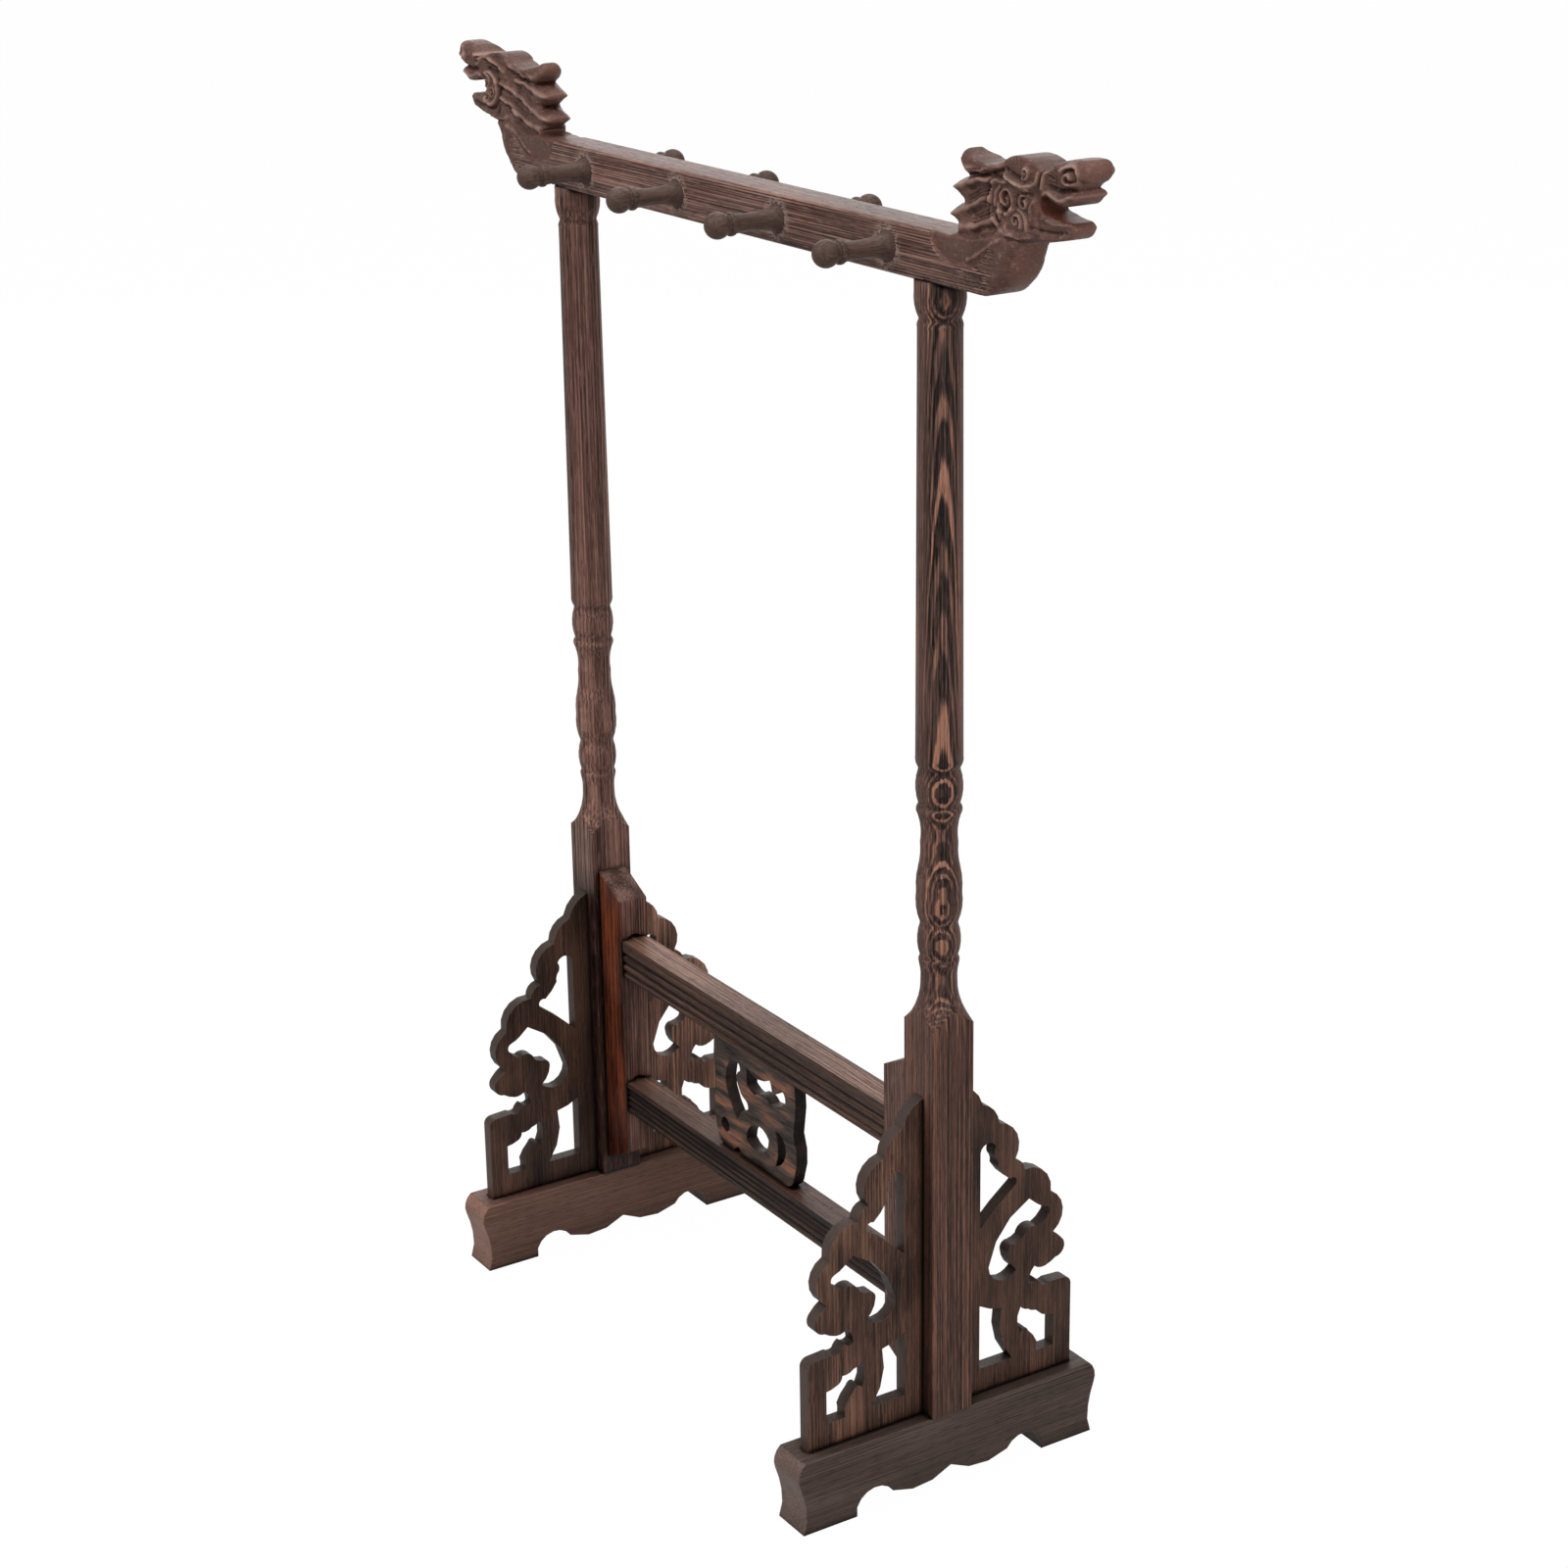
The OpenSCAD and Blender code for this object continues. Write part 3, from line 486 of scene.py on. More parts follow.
def finished(work, name, angle):
    """A bmesh as a mesh with smooth shading."""
    mesh = bpy.data.meshes.new(name)
    work.to_mesh(mesh)
    work.free()
    shade_smooth(mesh, angle)
    return mesh


def is_upright(edge):
    way = edge.verts[1].co - edge.verts[0].co
    return abs(way.normalized().z) > UPRIGHT


def eased(node, material, width, angle=40, upright_only=False):
    """A copy of a CAD node whose edges over an angle in degrees are rounded by a width in mm."""
    work = bmesh.new()
    work.from_mesh(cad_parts[node].data)
    bmesh.ops.remove_doubles(work, verts=work.verts[:], dist=WELD_GAP * MM)
    bmesh.ops.dissolve_limit(
        work, angle_limit=math.radians(FLAT_ANGLE), verts=work.verts[:], edges=work.edges[:],
        use_dissolve_boundaries=False,
    )
    sharp = [e for e in work.edges if e.calc_face_angle(0.0) > math.radians(angle)]
    if upright_only:
        sharp = [e for e in sharp if is_upright(e)]
    bmesh.ops.bevel(
        work, geom=sharp, offset=width * MM, offset_type="OFFSET", segments=EDGE_STEPS, profile=0.5,
        affect="EDGES", clamp_overlap=True,
    )
    bmesh.ops.triangulate(work, faces=[f for f in work.faces if len(f.verts) > 4])
    mesh = finished(work, node + "_eased", angle)
    piece = link(node + "_eased", mesh, material, node)
    piece.modifiers.new("flat faces", "WEIGHTED_NORMAL").keep_sharp = True


# Outlines and lines in the plane of the beam's face

# Largest angle of an arc's edge in degrees, steps of a stroke and points of a spiral
ARC_STEP = 8
STROKE_STEPS = 8
SPIRAL_POINTS = 40
# Points measured at once
BATCH = 2000
TINY = 1e-12


def arc_points(start, end, bulge):
    """Points of an arc from start to end, without end; bulge is the tangent of a quarter of its angle."""
    start, end = np.array(start[:2], float), np.array(end[:2], float)
    if bulge == 0:
        return [start]
    chord = end - start
    length = np.hypot(*chord)
    half = length / 2
    side = np.array([chord[1], -chord[0]]) / length
    radius = half * (1 + bulge * bulge) / (2 * bulge)
    centre = (start + end) / 2 - side * (radius - bulge * half)
    first = math.atan2(start[1] - centre[1], start[0] - centre[0])
    sweep = 4 * math.atan(bulge)
    count = max(2, math.ceil(abs(math.degrees(sweep)) / ARC_STEP))
    angles = first + sweep * np.arange(count) / count
    return [centre + abs(radius) * np.array([math.cos(a), math.sin(a)]) for a in angles]


def bulge_of(corner):
    return corner[2] if len(corner) > 2 else 0


def outline(corners):
    """Closed outline from corners (x, z) or (x, z, bulge of the edge to the next corner)."""
    points = []
    for corner, following in zip(corners, corners[1:] + corners[:1]):
        points += arc_points(corner, following, bulge_of(corner))
    return np.array(points)


def both_sides(half):
    """A closed outline from its right half, which runs from the axis below to the axis above."""
    mirrored = [(-half[i][0], half[i][1], bulge_of(half[i - 1])) for i in range(len(half) - 1, 0, -1)]
    return half[:-1] + mirrored


def subdivided(points, spacing):
    """The closed outline with no edge longer than the spacing at its middle."""
    result = []
    for a, b in zip(points, np.roll(points, -1, axis=0)):
        count = max(1, math.ceil(np.hypot(*(b - a)) / spacing((a + b) / 2)))
        result += [a + (b - a) * i / count for i in range(count)]
    return np.array(result)


def distance(points, line, closed=False):
    """Distance from each point to a polyline."""
    ends = np.roll(line, -1, axis=0) if closed else line[1:]
    starts = line if closed else line[:-1]
    along = ends - starts
    scale = np.maximum((along ** 2).sum(1), TINY)
    best = np.full(len(points), np.inf)
    for first in range(0, len(points), BATCH):
        offset = points[first:first + BATCH, None, :] - starts[None]
        share = np.clip((offset * along).sum(2) / scale, 0, 1)
        gap = offset - share[..., None] * along
        best[first:first + BATCH] = np.sqrt((gap ** 2).sum(2)).min(1)
    return best


def inside(points, line):
    """Which points lie inside a closed outline."""
    starts, ends = line, np.roll(line, -1, axis=0)
    rise = np.where(ends[:, 1] == starts[:, 1], TINY, ends[:, 1] - starts[:, 1])
    result = np.zeros(len(points), bool)
    for first in range(0, len(points), BATCH):
        part = points[first:first + BATCH]
        x, z = part[:, :1], part[:, 1:]
        spans = (starts[:, 1] > z) != (ends[:, 1] > z)
        crossing = starts[:, 0] + (z - starts[:, 1]) * (ends[:, 0] - starts[:, 0]) / rise
        result[first:first + BATCH] = (spans & (x < crossing)).sum(1) % 2 == 1
    return result


def depth_in(points, line):
    """Signed distance to a closed outline, positive inside."""
    gap = distance(points, line, closed=True)
    return np.where(inside(points, line), gap, -gap)


def smooth(start, end, value):
    """Soft step from 0 at the start to 1 at the end, which may be the lower one."""
    share = np.clip((value - start) / (end - start), 0, 1)
    return share * share * (3 - 2 * share)


def region(points, along, up):
    """How far each point lies in a region, by its soft steps along X and up Z."""
    return smooth(*along, points[:, 0]) * smooth(*up, points[:, 1])


def stroke(*points):
    """Smooth line through a few points."""
    knots = np.array([points[0], *points, points[-1]], float)
    line = []
    for a, b, c, d in zip(knots, knots[1:], knots[2:], knots[3:]):
        for u in np.linspace(0, 1, STROKE_STEPS, endpoint=False):
            square = 2 * a - 5 * b + 4 * c - d
            cube = 3 * b - a - 3 * c + d
            line.append(0.5 * (2 * b + (c - a) * u + square * u ** 2 + cube * u ** 3))
    return np.array(line + [knots[-1]])


def spiral(centre, outer, inner, turns, start, wide=1.0, lean=0.0):
    """Spiral line that winds inwards; start is its first angle in degrees, turns may be negative,
    wide stretches it along X, and lean lifts it towards +X."""
    share = np.linspace(0, 1, SPIRAL_POINTS)
    angle = math.radians(start) + share * turns * 2 * math.pi
    radius = outer + (inner - outer) * share
    along = wide * np.cos(angle)
    return np.array(centre) + radius[:, None] * np.stack([along, np.sin(angle) + lean * along], 1)


# The dragon head in mm: X from the back of the mane, Z from the beam's underside

HEAD_EDGE = [
    (17.5, 0, 0.1), (26, 3.4, 0.16), (31, 10.4, 0.06), (32.8, 14.8, -0.3), (35.4, 16.8, 0.06),
    (49.6, 18.8, 0.25), (53.4, 22, 0.3), (50.6, 23.4, -0.05), (41, 24.8, -0.5), (40.2, 28.2, -0.3),
    (44, 29, 0.1), (47.4, 27.8, 0.06), (51, 27.6, 0.3), (54.4, 30.6, 0.12), (54.6, 32.8, -0.3),
    (57.2, 34, 0.4), (58.8, 38.2, 0.35), (56.6, 39.8, 0.08), (49.6, 39, 0.1), (45, 36.2, -0.25),
    (40.6, 36.2, 0.1), (32, 38.2, 0.16), (25, 36.2, -0.08), (16, 34.2, -0.1), (5.8, 37, 0.5),
    (4, 33.8, 0.1), (8.4, 30.2, 0.12), (1.2, 27.6, 0.4), (1.4, 25.8, 0.1), (5.6, 23.2, 0.12),
    (0, 20.4, 0.4), (0.2, 18.6, 0.1), (4.8, 16, -0.2),
]
CHEEK_EDGE = [
    (-20, 0), (17.5, 0, 0.1), (26, 3.4, 0.16), (31, 10.4, 0.06), (32.8, 14.8, -0.3), (35.4, 16.8),
    (40.4, 19.4, -0.2), (39.2, 25.6, -0.1), (38.6, 31, 0.3), (33, 33, 0.2), (26, 32.6, 0.1),
    (23.6, 25), (24.4, 19.4, -0.1), (16, 15, -0.1), (4, 14.8), (-20, 14.8),
]
SNOUT_EDGE = [
    (25.4, 38.4), (25.6, 33), (37, 31.4), (41, 29.8, -0.1), (47.4, 27), (60, 27), (60, 41), (32, 41),
]
MOUTH = np.array([(37, 23), (52, 22.4), (52, 27.4), (45.5, 29.4), (37, 30)], float)
# Lower edges of the locks of the mane, from the face to the tips
LOCKS = [
    [(19.6, 30.4), (15, 30.2), (9, 28.6), (2.2, 26.7)],
    [(19, 25.4), (15, 24.8), (9, 22), (1.0, 19.5)],
    [(20.6, 20.4), (16, 19), (11, 17.4), (5, 16.4)],
]
# Lower edge of the hollow that sets the head off from the beam, and the space above it
COLLAR = stroke(
    (-6.4, 15.5), (-5.6, 10.6), (-3, 8.2), (0, 7.2), (5, 6.6), (10, 6.3), (14, 7.2), (17.5, 10),
    (21, 13.4), (25, 15.6),
)
OVER_COLLAR = np.concatenate([COLLAR, [(25, 45), (-6.4, 45)]])
# Raised lines with their width and height, and cuts with their width and depth
RIDGES = [
    # Horn and the fold of the neck
    (stroke((24.6, 35), (16, 32.8), (9, 32), (4.6, 33.6)), 0.8, 0.7),
    (stroke((10, 8.6), (13, 9.6), (16.4, 11.6), (20, 13.8), (24.6, 15.8)), 0.6, 0.6),
    # Lower lip, throat and upper lip
    (stroke((50.6, 22.6), (45.6, 22.6), (40.6, 23.6)), 0.5, 0.6),
    (stroke((38, 17.8), (31, 17.2), (24.6, 18.4)), 0.6, 0.6),
    (stroke((54, 30.4), (50, 29.2), (46.6, 29.4), (43.8, 30.8), (41.6, 29.4)), 0.6, 0.8),
]
RIDGES += [(stroke(*lock), 1.0, 0.8) for lock in LOCKS]
CUTS = [
    # Over the lip, along the jaw and the throat
    (stroke((58, 33.2), (53, 32), (48.4, 31.3), (44.6, 32.4)), 0.8, 1.0),
    (stroke((50, 20.8), (44, 20.4), (37, 20.4)), 0.8, 0.7),
    (stroke((38.6, 16.6), (33, 16.4), (27.6, 17)), 0.8, 0.7),
    # Under the horn
    (stroke((24.6, 33.6), (16, 31.4), (10.4, 30.9)), 0.9, 0.9),
]
# Under the locks, the hairs of the mane, and lines on the brow
CUTS += [(stroke(*lock[:-1]) - (-0.3, 1.4), 1.0, 0.7) for lock in LOCKS]
CUTS += [(stroke(*lock[:-1]) + (0.5, up), 0.45, 0.5) for lock in LOCKS for up in (1.2, 2.1, 3.0)]
CUTS += [(stroke((x, 36.8), (x - 1.2, 38.4)), 0.4, 0.4) for x in (28.4, 29.8, 31.2, 32.6)]


def curl(place, size, turns, start, wide=1.0, lean=0.0):
    """A rolled lock of hair: a raised line that winds in, with a cut along its inner side."""
    ridge = (spiral(place, size, 0.3, turns, start, wide, lean), 0.55, 0.95)
    groove = (spiral(place, size * 0.72, 0.1, turns, start, wide, lean), 0.45, 0.65)
    return ridge, groove


def right_face():
    """A heap of curls on the cheek, a rolled brow and a large scroll for the nostril."""
    curls = [
        curl((27, 26.4), 4.2, 1.6, 200), curl((23.4, 21.6), 2.2, -1.1, 250),
        curl((31.6, 21.4), 2.3, 1.0, 330), curl((34.6, 26.4), 2.0, 1.0, 100),
        curl((34.6, 34.4), 2.0, 0.9, 240),
        curl((52.8, 35.2), 2.9, -1.3, 130, wide=1.7, lean=0.25),
    ]
    ridges = [ridge for ridge, groove in curls] + [
        (stroke((26.8, 31), (21, 30.6), (19.4, 27), (19.6, 22.4), (22.4, 18.8)), 0.7, 0.8),
        (stroke((26, 33), (30, 31.4), (35, 30.8), (39.2, 32.2), (40.2, 35)), 0.6, 1.1),
        (stroke((41.8, 31.4), (43, 34.8), (46.4, 38)), 0.6, 1.0),
        (stroke((38.6, 27.8), (37, 25.4), (37.4, 22.6)), 0.6, 0.6),
        (stroke((31, 29.6), (33.4, 29.4), (36.4, 29.8)), 0.6, 0.7),
        (stroke((29.8, 24), (32.4, 24.4), (35.8, 22.4), (36, 19.8)), 0.6, 0.8),
        (stroke((26.4, 20.6), (27.6, 18.6), (30, 18.2)), 0.6, 0.7),
        (stroke((23.4, 29.4), (21.6, 27.6), (21.6, 24.6)), 0.6, 0.8),
    ]
    cuts = [groove for ridge, groove in curls] + [
        (stroke((24.8, 31.6), (20.4, 31.4), (18, 27.4), (18.2, 22)), 0.9, 0.9),
        (stroke((27, 34.6), (31, 32.8), (35, 32.2)), 0.7, 0.8),
        (stroke((38, 29.4), (34, 29), (31, 29.6)), 0.8, 0.8),
        (stroke((25.6, 25), (26.4, 20.4)), 0.8, 0.8),
        (stroke((31.6, 24.2), (31.8, 28)), 0.7, 0.7),
        (stroke((40.4, 31.2), (41.8, 34.8), (44.8, 37.6)), 0.7, 0.8),
    ]
    # Wrinkles of the snout
    cuts += [(stroke((44.2, 33.4 + rise), (48, 33 + 0.8 * rise)), 0.4, 0.5) for rise in (0, 1.2, 2.4, 3.6)]
    return ridges, cuts


def left_face():
    """One open scroll round three curls on the cheek, a long brow and a curled nostril."""
    scroll = (36.2, 26.4)
    curls = [
        curl((37.6, 28.4), 2.2, 1.3, 90), curl((34.4, 25.4), 2.1, -1.3, 20), curl((38.4, 24), 1.9, 1.2, 200),
        curl((44.2, 34.6), 2.0, 1.2, 0), curl((56, 35), 2.2, 1.2, 160),
    ]
    ridges = [ridge for ridge, groove in curls] + [
        (spiral(scroll, 5.4, 5.0, 0.72, 60), 0.7, 1.1),
        (stroke((47, 36.4), (41, 36.8), (36, 36), (30, 34.2), (26, 32.8)), 0.7, 0.9),
        (stroke((30.4, 28.6), (25, 28), (20, 26.2)), 0.7, 0.9),
        (stroke((28.4, 24), (23, 22.4), (18.6, 19.6)), 0.7, 0.9),
        (stroke((53.6, 33), (53.4, 36), (55, 38.2)), 0.6, 0.8),
    ]
    cuts = [groove for ridge, groove in curls] + [
        (spiral(scroll, 6.6, 6.2, 0.6, 80), 0.9, 0.9),
        (stroke((40, 35.4), (35, 34.6), (29.6, 32.8)), 0.7, 0.8),
        (stroke((31.4, 32.4), (29.8, 28), (29.6, 23), (30.8, 19.2)), 1.0, 0.9),
        (stroke((30, 27.2), (25, 26.6), (20, 24.8)), 0.7, 0.7),
        (stroke((28, 22.6), (23, 21), (18.6, 18.2)), 0.7, 0.7),
    ]
    return ridges, cuts


# Half thickness of mane and brow, and half the width of the steps between them
MANE_HALF = 4.6
BROW_HALF = 5.3
STEP_HALF = 0.45
# How deep the face lies under the chest, before its curls, and how far the jaw is thinned
FACE_SUNK = 0.8
JAW_SUNK = 0.9
# How far carving may stand out over the full thickness
PROUD = 0.6
# Sizes and depths of the marks of gouge and knife, and how strongly they are coloured with painted shade and
# highlight
GOUGE_SIZE = 1.3
GOUGE_DEPTH = 0.18
KNIFE_SIZE = 3 * GOUGE_SIZE
KNIFE_DEPTH = 0.3
MARKS_SHOW = 1.5
# How far a carved line strays, over what length, and the planes of noise that it follows
STRAY = 0.5
STRAY_LENGTH = 3.5
STRAY_PLANES = (0.4, 7.4)
# Radius of the rounded edges
EDGE_ROUND = 0.7
MANE_ROUND = 3.3
CHEST_ROUND = 4.4
SNOUT_ROUND = 3.0
# Depth of the hollow over the collar, and its soft steps above the collar's edge and along X
HOLLOW_DEPTH = 1.0
HOLLOW_FROM = (-0.1, 0.8)
HOLLOW_TO = (7, 1.5)
HOLLOW_FRONT = (25, 19)
# Soft steps along X and up Z of the regions of the head
FACE = ((18, 24), (15, 19))
JAW = ((41, 53), (26.5, 24.5))
CHEST = ((17, 27), (19, 14))
SNOUT = ((46, 51), (31, 33))
MANE = ((12, 5), (15.5, 18))
# Soft steps where the tools' marks begin, along X, and where the beam's grain ends at the collar
MARKS_FROM = (0, 14)
GRAIN_END = (-0.3, 0.8)
# Soft steps of the red wood: from the rim, and into the mouth
FRESH_RIM = (0.3, 0.0)
FRESH_MOUTH = (-0.5, 0.5)


def over_collar(points):
    """Distance of each point above the collar's lower edge, negative below it."""
    return np.where(inside(points, OVER_COLLAR), 1, -1) * distance(points, COLLAR)


def strayed(points):
    """The points as a carver's hand sees them, a little off their place."""
    places = points / STRAY_LENGTH
    shift = [[noise.noise((x, z, plane)) for plane in STRAY_PLANES] for x, z in places]
    return points + STRAY * np.array(shift)


def within(points, edge):
    """1 inside an outline and 0 outside, with a soft step along it."""
    return smooth(-STEP_HALF, STEP_HALF, depth_in(points, outline(edge)))


def uncarved_half(points, full):
    """Half thickness of a head before its lines are carved."""
    half = np.full(len(points), MANE_HALF)
    half += (BROW_HALF - half) * within(points, SNOUT_EDGE)
    half += (full - FACE_SUNK * region(points, *FACE) - half) * within(points, CHEEK_EDGE)
    return half - JAW_SUNK * region(points, *JAW)


def carved_lines(points, face):
    """How far the lines of a head raise or sink each point."""
    ridges, cuts = face()
    seen = strayed(points)
    carving = np.zeros(len(points))
    for line, width, height in RIDGES + ridges:
        carving += height * np.exp(-((distance(seen, line) / width) ** 2))
    for line, width, depth in CUTS + cuts:
        carving -= depth * np.clip(1 - distance(seen, line) / width, 0, 1)
    return carving


def tool_marks(points, full):
    """Uneven marks of the gouge and the knife."""
    gouge = [noise.noise((x / GOUGE_SIZE, z / GOUGE_SIZE, full)) for x, z in points]
    knife = [noise.noise((x / KNIFE_SIZE, full, z / KNIFE_SIZE)) for x, z in points]
    marks = GOUGE_DEPTH * np.array(gouge) + KNIFE_DEPTH * np.array(knife)
    return marks * smooth(*MARKS_FROM, points[:, 0])


def collar_hollow(points):
    """Depth of the hollow that sets the head off from the beam."""
    above = over_collar(points)
    across = smooth(*HOLLOW_FROM, above) * smooth(*HOLLOW_TO, above)
    return HOLLOW_DEPTH * across * smooth(*HOLLOW_FRONT, points[:, 0])


def head_relief(points, full, face):
    """Half thickness of one head at each point, and how far carving raises or sinks it."""
    carving = carved_lines(points, face)
    marks = tool_marks(points, full)
    half = np.minimum(uncarved_half(points, full) + carving + marks, full + PROUD)
    return half - collar_hollow(points), carving + MARKS_SHOW * marks


# Carved beam

BEAM_HEIGHT = 14.3
# Where the mane's underside meets the top of the beam
MANE_FOOT = 2.6
# How far the carving reaches from the head onto the beam
HEAD_MARGIN = 8
# Spacing of points along the outline, on the heads and on the beam between them
HEAD_SPACING = 0.4
BEAM_SPACING = 2.5
# Gaps of the rows of points along the outline, and the share of a gap that a point keeps clear
RIM_GAPS = (0.1, 0.3, 0.6, 1.0)
RIM_CLEAR = 0.93
# Triangular grid on the heads, rows on the beam, and how far both stay off the outline
GRID_CELL = 0.36
GRID_ROW = 0.866 * GRID_CELL
BEAM_ROWS = (3.6, 7.2, 10.8)
BEAM_STEP = 4.0
GRID_CLEAR = 1.25
# Triangulation: the inside of the outline only, and points closer than this are one
INSIDE_ONLY = 1
MERGE_GAP = 1e-6


def beam_rim(head_x):
    """The outline of the beam and its heads, with close points on the heads."""
    half = [(0, 0)] + [(x + head_x, z, *bulge) for x, z, *bulge in HEAD_EDGE]
    half += [(head_x + MANE_FOOT, BEAM_HEIGHT), (0, BEAM_HEIGHT)]

    def spacing(point):
        return HEAD_SPACING if abs(point[0]) > head_x - HEAD_MARGIN else BEAM_SPACING

    return subdivided(outline(both_sides(half)), spacing)


def rim_rows(rim):
    """Rows of points just inside the outline, for its rounded edge."""
    along = np.roll(rim, -1, axis=0) - np.roll(rim, 1, axis=0)
    inwards = np.stack([-along[:, 1], along[:, 0]], 1) / np.hypot(*along.T)[:, None]
    rows = []
    for gap in RIM_GAPS:
        row = rim + gap * inwards
        rows.append(row[depth_in(row, rim) > RIM_CLEAR * gap])
    return rows


def filling(rim, head_x, end_x, height):
    """Points well inside the outline: a fine grid on the heads and a few rows between them."""
    head_start = head_x - HEAD_MARGIN
    columns = np.arange(head_start, end_x, GRID_CELL)
    rows = enumerate(np.arange(0, height, GRID_ROW))
    grid = np.array([(x + GRID_CELL / 2 * (i % 2), z) for i, z in rows for x in columns])
    bar = np.array([(x, z) for x in np.arange(-head_start, head_start, BEAM_STEP) for z in BEAM_ROWS])
    points = np.concatenate([grid, grid * (-1, 1), bar])
    return points[depth_in(points, rim) > GRID_CLEAR]


def beam_relief(flat, head, full):
    """Half thickness of the beam at each point, and how far carving raises or sinks it."""
    thick = np.full(len(flat), full)
    relief = np.zeros(len(flat))
    for face, end in ((left_face, -1), (right_face, 1)):
        carved = (head[:, 0] > -HEAD_MARGIN) & (flat[:, 0] * end > 0)
        thick[carved], relief[carved] = head_relief(head[carved], full, face)
    return thick, relief


def head_share(head):
    """Where the head's carving takes the place of the beam's grain."""
    near = head[:, 0] > -HEAD_MARGIN
    share = np.zeros(len(head))
    on_face = smooth(*FACE[0], head[near, 0])
    share[near] = np.maximum(on_face, smooth(*GRAIN_END, over_collar(head[near])))
    return share


def edge_drop(head, rim_gap):
    """How far the face falls away towards its rounded edge."""
    radius = np.full(len(head), EDGE_ROUND)
    for place, rounding in ((CHEST, CHEST_ROUND), (SNOUT, SNOUT_ROUND), (MANE, MANE_ROUND)):
        radius += (rounding - EDGE_ROUND) * region(head, *place)
    gap = np.clip(radius - rim_gap, 0, None)
    return radius - np.sqrt(radius ** 2 - gap ** 2)


def two_faced(name, flat, thick, faces, edges):
    """A closed mesh with a front and a back face, and a wall along the edges of the outline."""
    count = len(flat)
    front = np.stack([flat[:, 0], -thick, flat[:, 1]], 1)
    back = np.stack([flat[:, 0], thick, flat[:, 1]], 1)
    behind = [tuple(i + count for i in reversed(f)) for f in faces]
    walls = [(b, a, a + count, b + count) for a, b in edges]
    mesh = bpy.data.meshes.new(name)
    mesh.from_pydata((np.concatenate([front, back]) * MM).tolist(), [], faces + behind + walls)
    return mesh


def carved_beam(node, material):
    """The beam and its two dragon heads as one closed mesh."""
    low, high = (np.array(corner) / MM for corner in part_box(node))
    head_x = high[0] - outline(HEAD_EDGE)[:, 0].max()
    rim = beam_rim(head_x)
    flat = np.concatenate([rim, *rim_rows(rim), filling(rim, head_x, high[0], high[2] - low[2])])
    edges = [(i, (i + 1) % len(rim)) for i in range(len(rim))]
    flat, _, faces, *_ = delaunay_2d_cdt([Vector(p) for p in flat], edges, [], INSIDE_ONLY, MERGE_GAP)
    flat = np.array(flat)
    faces = [tuple(f) for f in faces]

    head = np.stack([np.abs(flat[:, 0]) - head_x, flat[:, 1]], 1)
    rim_gap = distance(flat, rim, closed=True)
    thick, relief = beam_relief(flat, head, high[1])
    thick -= edge_drop(head, rim_gap)
    fresh = smooth(*FRESH_RIM, rim_gap) * smooth(*FRESH_MOUTH, depth_in(head, MOUTH))
    mesh = two_faced("carved_beam", flat + (0, low[2]), thick, faces, edges)
    # relief colours the cuts with painted shade and the ridges with wear and painted highlight
    for name, values in (("relief", relief), ("fresh", fresh), ("head", head_share(head))):
        attribute = mesh.attributes.new(name, "FLOAT", "POINT")
        attribute.data.foreach_set("value", np.concatenate([values, values]).astype(np.float32))
    shade_smooth(mesh, SHARP_ANGLE)
    link("carved_beam", mesh, material, node)


# Pegs

# Radius and distance from the beam's face, in mm: flared foot and waist, and the bead by the ball
PEG_SHAFT = ((4.5, 0.0), (3.6, 1.3), (2.9, 4.4), (2.6, 9.5), (2.9, 14.2))
PEG_BEAD = ((2.9, 14.2), (3.4, 14.9), (3.4, 15.9), (2.95, 16.5))
PEG_TENON_R = 2.5
PEG_SIDES = 48
BALL_RINGS = 16


def peg_profile(ball, tip, tenon):
    """Radius and distance from the beam's face, from the tenon's end to just short of the tip."""
    angles = np.linspace(math.asin(PEG_BEAD[-1][0] / ball) - math.pi, 0, BALL_RINGS)[:-1]
    sphere = [(-ball * math.sin(a), tip - ball + ball * math.cos(a)) for a in angles]
    shaft = [*stroke(*PEG_SHAFT), *stroke(*PEG_BEAD)[1:]]
    return [(PEG_TENON_R, -tenon), (PEG_TENON_R, 0.0), *shaft, *sphere]


def turned_peg(node, material, side):
    """A peg turned about Y, from the end of its tenon to its ball; side is the way it points."""
    low, high = (np.array(corner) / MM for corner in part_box(node))
    centre = (low + high) / 2
    ball = (high[0] - low[0]) / 2
    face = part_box("top_beam")[1][1] / MM
    tip = max(-low[1], high[1]) - face
    tenon = face - min(abs(low[1]), abs(high[1]))
    work = bmesh.new()

    def point(radius, angle, out):
        x = centre[0] + radius * math.cos(angle)
        z = centre[2] + radius * math.sin(angle)
        return work.verts.new(Vector((x, side * (face + out), z)) * MM)

    angles = [2 * math.pi * i / PEG_SIDES for i in range(PEG_SIDES)]
    rings = [[point(radius, a, out) for a in angles] for radius, out in peg_profile(ball, tip, tenon)]
    for ring, following in zip(rings, rings[1:]):
        for i in range(PEG_SIDES):
            j = (i + 1) % PEG_SIDES
            work.faces.new((ring[i], ring[j], following[j], following[i]))
    for ring, out in ((rings[0], -tenon), (rings[-1], tip)):
        pole = point(0, 0, out)
        for i in range(PEG_SIDES):
            work.faces.new((ring[i], ring[(i + 1) % PEG_SIDES], pole))
    bmesh.ops.recalc_face_normals(work, faces=work.faces[:])
    mesh = finished(work, node + "_turned", SHARP_ANGLE)
    link(node + "_turned", mesh, material, node)


# Woods and pieces

